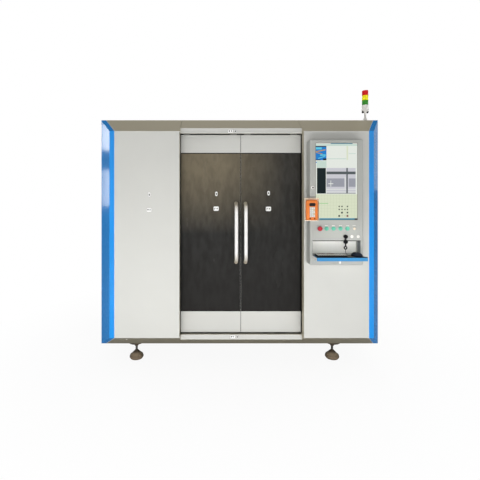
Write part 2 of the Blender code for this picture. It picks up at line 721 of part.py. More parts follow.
def build_base_frame():
    """Welded base: outer ring, inner tubes, bed beams on legs and the seats of the feet."""
    low, high = FRAME_BOTTOM_Z, TUBE_TOP_Z
    front, rear = FRAME_FRONT_Y, FRAME_REAR_Y
    side = FRAME_HALF_WIDTH
    frame = block("base_frame", (-side, front, low), (side, front + TUBE_WIDTH, high))
    members = [((-side, rear - TUBE_WIDTH, low), (side, rear, high))]
    half = TUBE_WIDTH / 2
    for centre in (-side + half, -INNER_TUBE_X, -BED_X, BED_X, INNER_TUBE_X, side - half):
        members.append(((centre - half, front + half, low), (centre + half, rear - half, high)))
    leg_places = (BED_FRONT_Y, (BED_FRONT_Y + BED_REAR_Y - TUBE_WIDTH) / 2, BED_REAR_Y - TUBE_WIDTH)
    for centre in (-BED_X, BED_X):
        for place in leg_places:
            members.append((
                (centre - half, place, low + half),
                (centre + half, place + TUBE_WIDTH, BED_TOP_Z - half)))
    beams = []
    for centre in (-BED_X, BED_X):
        beams.append((
            (centre - half - SHEET, BED_FRONT_Y - SHEET, BED_TOP_Z - BED_BEAM_HEIGHT),
            (centre + half + SHEET, BED_REAR_Y + SHEET, BED_TOP_Z)))
    crosses = []
    for place in leg_places[:2]:
        crosses.append((
            (-BED_X, place + SHEET, CROSS_TUBE_Z - TUBE_WIDTH),
            (BED_X, place + TUBE_WIDTH - SHEET, CROSS_TUBE_Z)))
    foot_plates = []
    for x in (LEFT_FOOT_X, RIGHT_FOOT_X):
        for y in (FRONT_FOOT_Y, REAR_FOOT_Y):
            foot_plates.append((
                (x - FOOT_PLATE_WIDTH / 2, y - half, low),
                (x + FOOT_PLATE_WIDTH / 2, y + half, high - SHEET)))
    groups = [members[:1], members[1:7], members[7:], beams, crosses, foot_plates]
    join(frame, *[blocks("members", group) for group in groups])
    paint(frame, FRAME_GREY, 0.5)
    return frame


def build_upper_frame():
    """Posts, top ring, rail header and sill that carry the panels and the doors."""
    low, high = TUBE_TOP_Z + FIT, FRAME_TOP_Z
    front, rear = FRAME_FRONT_Y, FRAME_REAR_Y
    side = FRAME_HALF_WIDTH
    post = POST_WIDTH
    frame = block("upper_frame", (-side, front, high - post), (side, front + post, high))
    rear_bar = [((-side, rear - post, high - post), (side, rear, high))]
    side_bars = []
    for edge in (-side, -WALL_X - SHEET - FIT - post, WALL_X + SHEET + FIT, side - post):
        side_bars.append(((edge, front + post / 2, high - post), (edge + post, rear - post / 2, high)))
    posts = []
    for edge in (-side, side - post):
        for place in (front, rear - post):
            posts.append(((edge, place, low), (edge + post, place + post, high - post / 2)))
    reach = HALF_BAY + DOOR_TRAVEL + post
    header = [(
        (-reach, HEADER_Y, RAIL_Z - SILL_HEIGHT / 2), (reach, HEADER_Y + post, RAIL_Z + SILL_HEIGHT / 2))]
    header_arms = []
    for edge in (-reach, -reach / 3, reach / 3 - post, reach - post):
        header_arms.append((
            (edge, HEADER_Y + post / 2, RAIL_Z - SILL_HEIGHT / 4),
            (edge + post, front + post / 2, high - post / 2)))
    join(frame, *[blocks("bars", group) for group in (rear_bar, side_bars, posts, header, header_arms)])
    paint(frame, FRAME_GREY, 0.5)
    return frame


def build_feet():
    """Four levelling feet: pad, threaded stud and the flange under the base tube."""
    outline = shaped(PAD_SHARES, PAD_RADIUS, FOOT_HEIGHT)
    outline += shaped(STUD_SHARES, STUD_RADIUS, FOOT_HEIGHT)
    outline += shaped(FLANGE_SHARES, FLANGE_RADIUS, FOOT_HEIGHT)
    places = {
        "foot_front_left": (LEFT_FOOT_X, FRONT_FOOT_Y),
        "foot_front_right": (RIGHT_FOOT_X, FRONT_FOOT_Y),
        "foot_rear_left": (LEFT_FOOT_X, REAR_FOOT_Y),
        "foot_rear_right": (RIGHT_FOOT_X, REAR_FOOT_Y)}
    for name, (x, y) in places.items():
        foot = turned(name, outline, (x, y, 0.0), segments=FOOT_SEGMENTS)
        set_origin(foot, (x, y, 0.0))
        paint(foot, DARK_STEEL, 0.5, 0.6)


def louvre_hood(name, x, y, z, outward):
    """A pressed hood over a slot: a wedge on a YZ outline, open at its lower edge."""
    reach = math.copysign(LOUVRE_REACH, outward)
    wall = math.copysign(SHEET, outward)
    outline = [
        (y - wall / 2, z + LOUVRE_HEIGHT), (y, z + LOUVRE_HEIGHT), (y + reach, z + LOUVRE_HEIGHT * 0.3),
        (y + reach, z), (y + reach - wall / 2, z), (y + reach - wall / 2, z + LOUVRE_HEIGHT * 0.2),
        (y - wall / 2, z + LOUVRE_HEIGHT * 0.8)]
    return extruded(name, outline, "YZ", x - LOUVRE_WIDTH / 2, LOUVRE_WIDTH)


def build_rear_panel():
    """Rear sheet with the drawer's opening, the duct's hole and two banks of louvres."""
    side = HALF_WIDTH - SHEET - FIT
    rear = block(
        "rear_panel", (-side, REAR_Y - SHEET, BODY_BOTTOM_Z), (side, REAR_Y, ROOF_Z - SHEET - FIT))
    half = DRAWER_HALF_WIDTH + DRAWER_CLEARANCE
    opening = block(
        "opening", (-half, REAR_Y - OVERRUN, DRAWER_BOTTOM_Z - DRAWER_CLEARANCE),
        (half, REAR_Y + OVERRUN, DRAWER_TOP_Z + DRAWER_CLEARANCE))
    hole = rod(
        "hole", DUCT_RADIUS - SHEET, (DUCT_X, REAR_Y + OVERRUN, DUCT_Z), 2 * OVERRUN, "Y")
    slots = []
    hoods = []
    louvre_x = HALF_WIDTH - REAR_LOUVRE_INSET
    for x in (-louvre_x, louvre_x):
        for index in range(LOUVRE_COUNT):
            z = LOUVRE_Z + index * LOUVRE_PITCH
            slots.append((
                (x - LOUVRE_WIDTH / 2 + SHEET, REAR_Y - OVERRUN, z + SHEET / 2),
                (x + LOUVRE_WIDTH / 2 - SHEET, REAR_Y + OVERRUN, z + LOUVRE_HEIGHT * 0.7)))
            hoods.append(louvre_hood("hood", x, REAR_Y, z, 1.0))
    cut(rear, opening, hole, blocks("slots", slots))
    join(rear, *hoods)
    paint(rear, LIGHT_GREY)


def build_shell():
    """Roof, side panels and rear panel."""
    side = HALF_WIDTH
    top_back = REAR_Y
    roof = block(
        "roof_panel", (-side + SHEET + FIT, PANEL_FRONT_Y, ROOF_Z - SHEET),
        (side - SHEET - FIT, top_back, ROOF_Z))
    paint(roof, LIGHT_GREY)
    panel = block(
        "right_side_panel", (side - SHEET, PANEL_FRONT_Y, BODY_BOTTOM_Z), (side, top_back, ROOF_Z))
    slots = []
    middle = (NOSE_BACK_Y + REAR_Y) / 2
    for index in range(LOUVRE_COUNT):
        z = LOUVRE_Z + index * LOUVRE_PITCH
        slots.append((
            (side - OVERRUN, middle - LOUVRE_WIDTH, z),
            (side + OVERRUN, middle + LOUVRE_WIDTH, z + LOUVRE_HEIGHT / 2)))
    cut(panel, blocks("slots", slots))
    paint(panel, LIGHT_GREY)
    left_panel = mirrored(panel, "left_side_panel")
    paint(left_panel, LIGHT_GREY)
    build_rear_panel()


def build_duct():
    """Spun collar for the fume duct, seated on the rear panel."""
    bore = DUCT_RADIUS - SHEET
    outline = [
        (bore, FIT), (DUCT_RADIUS + DUCT_FLANGE, FIT), (DUCT_RADIUS + DUCT_FLANGE, SHEET + FIT),
        (DUCT_RADIUS, SHEET + FIT), (DUCT_RADIUS, DUCT_LENGTH), (bore, DUCT_LENGTH), (bore, FIT)]
    duct = turned(
        "duct_collar", [(radius, -height) for radius, height in outline], (DUCT_X, REAR_Y, DUCT_Z), "Y")
    paint(duct, STEEL, 0.35, 0.8)


def build_door_track():
    """Linear rail under the header and the channel that keeps the doors' lower edge."""
    reach = HALF_BAY + DOOR_TRAVEL
    rail = block(
        "door_rail", (-reach, RAIL_FRONT_Y, RAIL_Z - RAIL_WIDTH / 2),
        (reach, RAIL_FRONT_Y + RAIL_HEIGHT, RAIL_Z + RAIL_WIDTH / 2))
    paint(rail, STEEL, 0.3, 0.9)
    middle = (DOOR_Y + DOOR_BACK_Y) / 2
    top = DOOR_BOTTOM_Z - RUNNING_GAP * 3
    guide = block(
        "door_guide", (-reach, middle - GUIDE_WIDTH / 2, top - GUIDE_HEIGHT),
        (reach, middle + GUIDE_WIDTH / 2, top))
    shelf = block(
        "shelf", (-reach, middle, top - GUIDE_HEIGHT),
        (reach, FRAME_FRONT_Y - FIT, top - GUIDE_HEIGHT + GUIDE_FLOOR))
    drop = block(
        "drop", (-reach, FRAME_FRONT_Y - FIT - GUIDE_FLOOR, FRAME_BOTTOM_Z + TUBE_HEIGHT / 2),
        (reach, FRAME_FRONT_Y - FIT, top - GUIDE_HEIGHT + GUIDE_FLOOR / 2))
    groove = GUIDE_FIN_THICKNESS / 2 + RUNNING_GAP
    slot = block(
        "slot", (-reach - OVERRUN, middle - groove, top - GUIDE_HEIGHT + GUIDE_FLOOR),
        (reach + OVERRUN, middle + groove, top + OVERRUN))
    join(guide, shelf)
    join(guide, drop)
    cut(guide, slot)
    paint(guide, DARK_STEEL, 0.4, 0.8)


def handle(name, side):
    """A bowed steel grip on two flared feet."""
    curve = bpy.data.curves.new(name, "CURVE")
    curve.dimensions = "3D"
    curve.bevel_depth = HANDLE_RADIUS
    curve.bevel_resolution = 2
    curve.resolution_u = 3
    curve.use_fill_caps = True
    spline = curve.splines.new("BEZIER")
    half = HANDLE_LENGTH / 2
    seat = DOOR_Y + WINDOW_RECESS - FIT
    crown = seat - HANDLE_REACH
    points = [
        (seat, HANDLE_Z - half), (crown, HANDLE_Z - half + HANDLE_FLARE),
        (crown, HANDLE_Z + half - HANDLE_FLARE), (seat, HANDLE_Z + half)]
    tangents = [(-1.0, 0.0), (0.0, 1.0), (0.0, 1.0), (1.0, 0.0)]
    spline.bezier_points.add(len(points) - 1)
    reach = HANDLE_REACH / 2
    for knot, (y, z), (along_y, along_z) in zip(spline.bezier_points, points, tangents):
        knot.co = (side * HANDLE_X, y, z)
        knot.handle_left = (side * HANDLE_X, y - along_y * reach, z - along_z * reach)
        knot.handle_right = (side * HANDLE_X, y + along_y * reach, z + along_z * reach)
    item = bpy.data.objects.new(name + "_curve", curve)
    MACHINE.objects.link(item)
    bpy.context.view_layer.update()
    graph = bpy.context.evaluated_depsgraph_get()
    mesh = bpy.data.meshes.new_from_object(item.evaluated_get(graph))
    bpy.data.objects.remove(item)
    shape = bmesh.new()
    shape.from_mesh(mesh)
    bmesh.ops.remove_doubles(shape, verts=shape.verts, dist=FIT / 3)
    grip = smooth(object_from(name, shape))
    set_origin(grip, (side * HANDLE_X, DOOR_Y, HANDLE_Z))
    paint(grip, STEEL, 0.25, 1.0)
    return grip


def build_door(name, side):
    """A folded door pan with its dark window, handle, hangers and lower guide fin."""
    inner = DOOR_MEETING_GAP / 2
    outer = HALF_BAY + DOOR_SIDE_LAP
    door = block(name, (inner, DOOR_Y, DOOR_BOTTOM_Z), (outer, DOOR_BACK_Y, DOOR_TOP_Z))
    pocket = block(
        "pocket", (inner + SHEET, DOOR_Y + SHEET, DOOR_BOTTOM_Z + SHEET),
        (outer - SHEET, DOOR_BACK_Y + OVERRUN, DOOR_TOP_Z - SHEET))
    cut(door, pocket)
    left = inner + WINDOW_MEETING_MARGIN
    right = outer - WINDOW_OUTER_MARGIN - DOOR_SIDE_LAP
    frame = block(
        "frame", (left - SHEET, DOOR_Y + SHEET / 2, WINDOW_BOTTOM_Z - SHEET),
        (right + SHEET, DOOR_Y + WINDOW_RECESS + WINDOW_THICKNESS + SHEET, WINDOW_TOP_Z + SHEET))
    join(door, frame)
    seat = block(
        "seat", (left, DOOR_Y - OVERRUN, WINDOW_BOTTOM_Z),
        (right, DOOR_Y + WINDOW_RECESS + WINDOW_THICKNESS + FIT, WINDOW_TOP_Z))
    light = block(
        "light", (left + WINDOW_LEDGE, DOOR_Y - OVERRUN, WINDOW_BOTTOM_Z + WINDOW_LEDGE),
        (right - WINDOW_LEDGE, DOOR_BACK_Y, WINDOW_TOP_Z - WINDOW_LEDGE))
    cut(door, seat, light)
    centres = (inner + BRACKET_WIDTH, outer - BRACKET_WIDTH)
    back = DOOR_BACK_Y + BRACKET_THICKNESS
    plates = []
    carriages = []
    ribs = []
    for centre in centres:
        plates.append((
            (centre - BRACKET_WIDTH / 2, DOOR_BACK_Y - SHEET / 2, DOOR_TOP_Z - BRACKET_LAP),
            (centre + BRACKET_WIDTH / 2, back, RAIL_Z + CARRIAGE_HEIGHT / 2)))
        ribs.append((
            (centre - BRACKET_WIDTH / 3, DOOR_Y + SHEET / 2, DOOR_TOP_Z - BRACKET_LAP),
            (centre + BRACKET_WIDTH / 3, DOOR_BACK_Y, DOOR_TOP_Z - SHEET / 2)))
        carriages.append((
            (centre - CARRIAGE_WIDTH / 2, back - SHEET / 2, RAIL_Z - CARRIAGE_HEIGHT / 2),
            (centre + CARRIAGE_WIDTH / 2, CARRIAGE_BACK_Y, RAIL_Z + CARRIAGE_HEIGHT / 2)))
    middle = (DOOR_Y + DOOR_BACK_Y) / 2
    length = GUIDE_FIN_LENGTH
    fins = [
        ((centre - length / 2, middle - GUIDE_FIN_THICKNESS / 2, DOOR_BOTTOM_Z - GUIDE_FIN_DROP),
         (centre + length / 2, middle + GUIDE_FIN_THICKNESS / 2, DOOR_BOTTOM_Z + SHEET / 2))
        for centre in centres]
    join(door, blocks("ribs", ribs))
    join(door, blocks("plates", plates))
    join(door, blocks("carriages", carriages), blocks("fins", fins))
    half_groove = RAIL_WIDTH / 2 + FIT
    groove = block(
        "groove", (-outer, RAIL_FRONT_Y - FIT, RAIL_Z - half_groove),
        (outer + OVERRUN, CARRIAGE_BACK_Y + OVERRUN, RAIL_Z + half_groove))
    cut(door, groove)
    window = block(
        name.replace("door", "window"), (left + FIT, DOOR_Y + WINDOW_RECESS, WINDOW_BOTTOM_Z + FIT),
        (right - FIT, DOOR_Y + WINDOW_RECESS + WINDOW_THICKNESS, WINDOW_TOP_Z - FIT))
    if side < 0:
        for item in (door, window):
            copy = mirrored(item, "copy")
            old = item.data
            item.data = copy.data
            bpy.data.objects.remove(copy)
            bpy.data.meshes.remove(old)
    set_origin(door, (0.0, DOOR_Y, DOOR_BOTTOM_Z))
    set_origin(window, (side * (left + right) / 2, DOOR_Y, WINDOW_BOTTOM_Z))
    paint(door, LIGHT_GREY)
    paint(window, DARK_GLASS, 0.15)
    grip = handle(name.replace("door", "handle"), side)
    carry(door, window, grip)


def build_chamber():
    """Chamber side walls, the Y rails on the bed and the toothed slat table."""
    wall = block(
        "chamber_right_wall", (WALL_X, BED_FRONT_Y, WALL_BOTTOM_Z),
        (WALL_X + SHEET, FRAME_REAR_Y - POST_WIDTH - FIT, FRAME_TOP_Z - SHEET))
    foot = block(
        "foot", (WALL_X - SHEET, BED_FRONT_Y, TUBE_TOP_Z + FIT),
        (WALL_X + SHEET * 12, FRAME_REAR_Y - POST_WIDTH - FIT, TUBE_TOP_Z + FIT + SHEET))
    riser = block(
        "riser", (WALL_X, BED_FRONT_Y, TUBE_TOP_Z + FIT + SHEET / 2),
        (WALL_X + SHEET, FRAME_REAR_Y - POST_WIDTH - FIT, WALL_BOTTOM_Z + SHEET))
    join(riser, foot)
    join(wall, riser)
    paint(wall, FRAME_GREY, 0.5)
    left = mirrored(wall, "chamber_left_wall")
    paint(left, FRAME_GREY, 0.5)
    for name, side in (("left_y_rail", -1), ("right_y_rail", 1)):
        x = side * BED_X
        rail = block(
            name, (x - Y_RAIL_WIDTH / 2, BED_FRONT_Y, BED_TOP_Z + FIT),
            (x + Y_RAIL_WIDTH / 2, BED_REAR_Y, BED_TOP_Z + FIT + Y_RAIL_HEIGHT))
        waist = Y_RAIL_WIDTH / 6
        grooves = blocks("grooves", [
            ((x + edge * Y_RAIL_WIDTH / 2 - waist, BED_FRONT_Y - OVERRUN, BED_TOP_Z + Y_RAIL_HEIGHT * 0.35),
             (x + edge * Y_RAIL_WIDTH / 2 + waist, BED_REAR_Y + OVERRUN, BED_TOP_Z + Y_RAIL_HEIGHT * 0.65))
            for edge in (-1, 1)])
        cut(rail, grooves)
        paint(rail, STEEL, 0.3, 0.9)


def slat_outline(left, right, bottom, top):
    """A slat's upper edge of pointed teeth with narrow flat tips, over a straight lower edge."""
    pitch = (right - left) / TOOTH_COUNT
    tip = pitch * TOOTH_TIP_SHARE / 2
    root = top - TOOTH_HEIGHT
    points = [(left, bottom), (right, bottom)]
    for index in range(TOOTH_COUNT):
        centre = right - (index + 0.5) * pitch
        points.append((centre + pitch / 2, root))
        points.append((centre + tip, top))
        points.append((centre - tip, top))
    points.append((left, root))
    return points


def build_slat_table():
    """A frame of two side rails and two end rails with toothed slats standing in it."""
    half = TABLE_HALF_WIDTH
    low = CROSS_TUBE_Z + FIT
    high = low + TABLE_RAIL_HEIGHT
    front = TABLE_FRONT_Y
    rear = TABLE_REAR_Y
    wide = TABLE_RAIL_WIDTH
    table = block("slat_table", (-half, front, low), (half, rear, high))
    inside = block(
        "inside", (-half + wide, front + wide, low - OVERRUN), (half - wide, rear - wide, high + OVERRUN))
    cut(table, inside)
    pitch = (rear - front - 2 * wide) / (SLAT_COUNT + 1)
    outline = slat_outline(-half + wide / 2, half - wide / 2, low + wide / 2, low + wide / 2 + SLAT_HEIGHT)
    shape = bmesh.new()
    for index in range(SLAT_COUNT):
        y = front + wide + (index + 1) * pitch - SLAT_THICKNESS / 2
        face = shape.faces.new([shape.verts.new((u, y, v)) for u, v in outline])
        moved = bmesh.ops.extrude_face_region(shape, geom=[face])["geom"]
        ends = [piece for piece in moved if isinstance(piece, bmesh.types.BMVert)]
        bmesh.ops.translate(shape, verts=ends, vec=(0.0, SLAT_THICKNESS, 0.0))
    slats = object_from("slats", shape)
    join(table, slats)
    paint(table, STEEL, 0.5, 0.8)
    return low + wide / 2 + SLAT_HEIGHT


def build_gantry(slat_top):
    """Gantry beam on rail blocks, the carriage across it and the rising cutting head."""
    half_span = BED_X + Y_RAIL_WIDTH * 2
    top = GANTRY_BOTTOM_Z + GANTRY_HEIGHT
    gantry = block(
        "gantry_beam", (-half_span, GANTRY_Y, GANTRY_BOTTOM_Z), (half_span, GANTRY_Y + GANTRY_DEPTH, top))
    riders = []
    for x in (-BED_X, BED_X):
        riders.append((
            (x - Y_RAIL_WIDTH, GANTRY_Y - (RIDER_LENGTH - GANTRY_DEPTH) / 2, RIDER_Z),
            (x + Y_RAIL_WIDTH, GANTRY_Y + (RIDER_LENGTH + GANTRY_DEPTH) / 2, GANTRY_BOTTOM_Z + SHEET)))
    rails = []
    for share in X_RAIL_SHARES:
        z = GANTRY_BOTTOM_Z + share * GANTRY_HEIGHT
        rails.append((
            (-half_span + TUBE_WIDTH, GANTRY_Y - X_RAIL_DEPTH, z - X_RAIL_HEIGHT / 2),
            (half_span - TUBE_WIDTH, GANTRY_Y + SHEET, z + X_RAIL_HEIGHT / 2)))
    join(gantry, blocks("riders", riders), blocks("rails", rails))
    half_rail = Y_RAIL_WIDTH / 2 + FIT
    grooves = blocks("grooves", [
        ((x - half_rail, GANTRY_Y - RIDER_LENGTH, BED_TOP_Z),
         (x + half_rail, GANTRY_Y + 2 * RIDER_LENGTH, BED_TOP_Z + Y_RAIL_HEIGHT + 2 * FIT))
        for x in (-BED_X, BED_X)])
    cut(gantry, grooves)
    set_origin(gantry, (0.0, GANTRY_Y, GANTRY_BOTTOM_Z))
    paint(gantry, STEEL, 0.4, 0.7)

    half = CARRIAGE_PLATE_WIDTH / 2
    plate_back = GANTRY_Y - X_RAIL_DEPTH / 2
    plate_front = GANTRY_Y - X_RAIL_DEPTH - CARRIAGE_PLATE_THICKNESS
    carriage = block("x_carriage", (-half, plate_front, GANTRY_BOTTOM_Z), (half, plate_back, top))
    rail_grooves = []
    for share in X_RAIL_SHARES:
        z = GANTRY_BOTTOM_Z + share * GANTRY_HEIGHT
        rail_grooves.append((
            (-half - OVERRUN, GANTRY_Y - X_RAIL_DEPTH - FIT, z - X_RAIL_HEIGHT / 2 - FIT),
            (half + OVERRUN, GANTRY_Y + OVERRUN, z + X_RAIL_HEIGHT / 2 + FIT)))
    cut(carriage, blocks("grooves", rail_grooves))
    way_half = Z_SLIDE_WIDTH / 2
    cheeks = blocks("cheeks", [
        ((-way_half - CARRIAGE_PLATE_THICKNESS, plate_front - Z_SLIDE_DEPTH / 2, GANTRY_BOTTOM_Z),
         (-way_half - FIT, plate_front + SHEET, top)),
        ((way_half + FIT, plate_front - Z_SLIDE_DEPTH / 2, GANTRY_BOTTOM_Z),
         (way_half + CARRIAGE_PLATE_THICKNESS, plate_front + SHEET, top))])
    join(carriage, cheeks)
    set_origin(carriage, (0.0, plate_back, GANTRY_BOTTOM_Z))
    paint(carriage, DARK_STEEL, 0.4, 0.6)

    head_bottom = slat_top + HEAD_REST_GAP
    slide_bottom = head_bottom + HEAD_LENGTH * SLIDE_FOOT_SHARE
    slide_y = plate_front - FIT
    slide = block(
        "z_slide", (-way_half, slide_y - Z_SLIDE_DEPTH, slide_bottom),
        (way_half, slide_y, slide_bottom + Z_SLIDE_HEIGHT))
    soften(slide, SHEET, 1)
    set_origin(slide, (0.0, slide_y, slide_bottom))
    paint(slide, WHITE, 0.4)
    centre_y = slide_y - Z_SLIDE_DEPTH - HEAD_RADIUS - FIT
    outline = shaped(NOZZLE_SHARES, NOZZLE_RADIUS, HEAD_LENGTH)
    outline += shaped(HEAD_SHARES, HEAD_RADIUS, HEAD_LENGTH)
    head = turned("cutting_head", outline, (0.0, centre_y, head_bottom))
    set_origin(head, (0.0, centre_y, head_bottom))
    paint(head, STEEL, 0.3, 0.9)
    carry(slide, head)
    carry(carriage, slide)
    carry(gantry, carriage)


def build_drawer():
    """Scrap drawer: an open pan on the base tubes with a face plate and grip at the rear."""
    half = DRAWER_HALF_WIDTH
    front = FRONT_Y + DRAWER_FRONT_SETBACK
    low = DRAWER_BOTTOM_Z
    high = DRAWER_TOP_Z
    face_y = REAR_Y + FIT
    drawer = block("scrap_drawer", (-half, front, low), (half, face_y + SHEET / 2, high))
    inside = block(
        "inside", (-half + SHEET, front + SHEET, low + SHEET),
        (half - SHEET, face_y - SHEET, high + OVERRUN))
    cut(drawer, inside)
    lap = DRAWER_FRONT_LAP
    face = block(
        "face", (-half - lap, face_y, low - DRAWER_CLEARANCE * 2), (half + lap, face_y + SHEET, high + lap))
    join(drawer, face)
    grip_z = (low + high) / 2
    grip_half = DRAWER_GRIP_LENGTH / 2
    grip = block(
        "grip", (-grip_half, face_y + SHEET / 2, grip_z),
        (grip_half, face_y + SHEET + DRAWER_GRIP_HEIGHT, grip_z + DRAWER_GRIP_HEIGHT))
    hollow = block(
        "hollow", (-grip_half + SHEET, face_y + SHEET, grip_z - OVERRUN),
        (grip_half - SHEET, face_y + DRAWER_GRIP_HEIGHT, grip_z + DRAWER_GRIP_HEIGHT - SHEET))
    join(drawer, grip)
    cut(drawer, hollow)
    set_origin(drawer, (0.0, REAR_Y, low))
    paint(drawer, LIGHT_GREY)
    runners = blocks("drawer_runners", [
        ((edge - RUNNER_WIDTH / 2, FRAME_FRONT_Y + TUBE_WIDTH - SHEET, TUBE_TOP_Z - SHEET),
         (edge + RUNNER_WIDTH / 2, FRAME_REAR_Y - TUBE_WIDTH + SHEET, TUBE_TOP_Z + SHEET))
        for edge in (-half + RUNNER_WIDTH / 2, half - RUNNER_WIDTH / 2)])
    return runners


def build_side_bay_units():
    """Laser source in the left bay and electrical cabinet in the right one, on the base tubes."""
    low = TUBE_TOP_Z + FIT
    right = -WALL_X - SHEET * 13
    y = FRONT_Y + SOURCE_SETBACK
    source = block(
        "laser_source", (right - SOURCE_WIDTH, y, low), (right, y + SOURCE_DEPTH, low + SOURCE_HEIGHT))
    soften(source, SHEET, 1)
    grips = blocks("grips", [
        ((x, y - OVERRUN, low + SOURCE_HEIGHT * 0.3), (x + SHEET * 4, y + SHEET, low + SOURCE_HEIGHT * 0.7))
        for x in (right - SOURCE_WIDTH * 0.9, right - SOURCE_WIDTH * 0.15)])
    join(source, grips)
    paint(source, DARK_STEEL, 0.5, 0.3)
    left = WALL_X + SHEET * 13
    y = FRONT_Y + CABINET_SETBACK
    rear = REAR_Y - CABINET_REAR_SETBACK
    cabinet = block(
        "electrical_cabinet", (left, y, low), (left + CABINET_WIDTH, rear, low + CABINET_HEIGHT))
    lap = CABINET_DOOR_LAP
    door = block(
        "door", (left + CABINET_WIDTH - SHEET, y + lap, low + lap),
        (left + CABINET_WIDTH + SHEET * 2, rear - lap, low + CABINET_HEIGHT - lap))
    join(cabinet, door)
    paint(cabinet, LIGHT_GREY, 0.5)


def build_tower():
    """Signal tower: a pivot foot and neck under the base, then green, yellow and red lenses."""
    y = FRONT_Y + TOWER_SETBACK
    red_z = TOWER_TOP_Z - LENS_HEIGHT
    base_z = TOWER_TOP_Z - 3 * LENS_HEIGHT - TOWER_BASE_HEIGHT
    foot_z = ROOF_Z + FIT
    outline = shaped(KNUCKLE_SHARES, KNUCKLE_RADIUS, KNUCKLE_HEIGHT, foot_z)
    outline += shaped(NECK_SHARES, NECK_RADIUS, KNUCKLE_HEIGHT, foot_z)
    outline.append((NECK_RADIUS, base_z - KNUCKLE_HEIGHT / 2))
    outline += shaped(SKIRT_SHARES, TOWER_RADIUS, TOWER_BASE_HEIGHT, base_z)
    outline.append((TOWER_RADIUS, base_z + TOWER_BASE_HEIGHT - FIT))
    outline.append((0.0, base_z + TOWER_BASE_HEIGHT - FIT))
    base = turned("tower_base", outline, (TOWER_X, y, 0.0))
    paint(base, WHITE, 0.4)
    lenses = (
        ("green_lens", GREEN, red_z - 2 * LENS_HEIGHT), ("yellow_lens", YELLOW, red_z - LENS_HEIGHT),
        ("red_lens", RED, red_z))
    for name, colour, z in lenses:
        top = z + LENS_HEIGHT - FIT
        ring = TOWER_RADIUS * LENS_RING_SHARE
        outline = [
            (0.0, z), (TOWER_RADIUS, z), (TOWER_RADIUS, z + ring * 1.5),
            (TOWER_RADIUS - ring, z + ring * 2),
            (TOWER_RADIUS - ring, top - ring), (TOWER_RADIUS - 2 * ring, top), (0.0, top)]
        lens = turned(name, outline, (TOWER_X, y, 0.0))
        paint(lens, colour, 0.2)


def console_shell():
    """The console's open-backed box, rounded at its front edges."""
    shape = bmesh.new()
    add_block(
        shape, (CONSOLE_LEFT, CONSOLE_Y, CONSOLE_BOTTOM_Z), (CONSOLE_RIGHT, CONSOLE_BACK_Y, CONSOLE_TOP_Z))
    shape.normal_update()
    back = [face for face in shape.faces if face.normal.y > 0.9]
    bmesh.ops.delete(shape, geom=back, context="FACES")
    folds = [edge for edge in shape.edges if len(edge.link_faces) == 2]
    bmesh.ops.bevel(
        shape, geom=folds, offset=CONSOLE_RADIUS, offset_type="OFFSET", segments=3, profile=0.5,
        affect="EDGES", material=-1)
    return open_sheet("console", shape, THIN_SHEET)


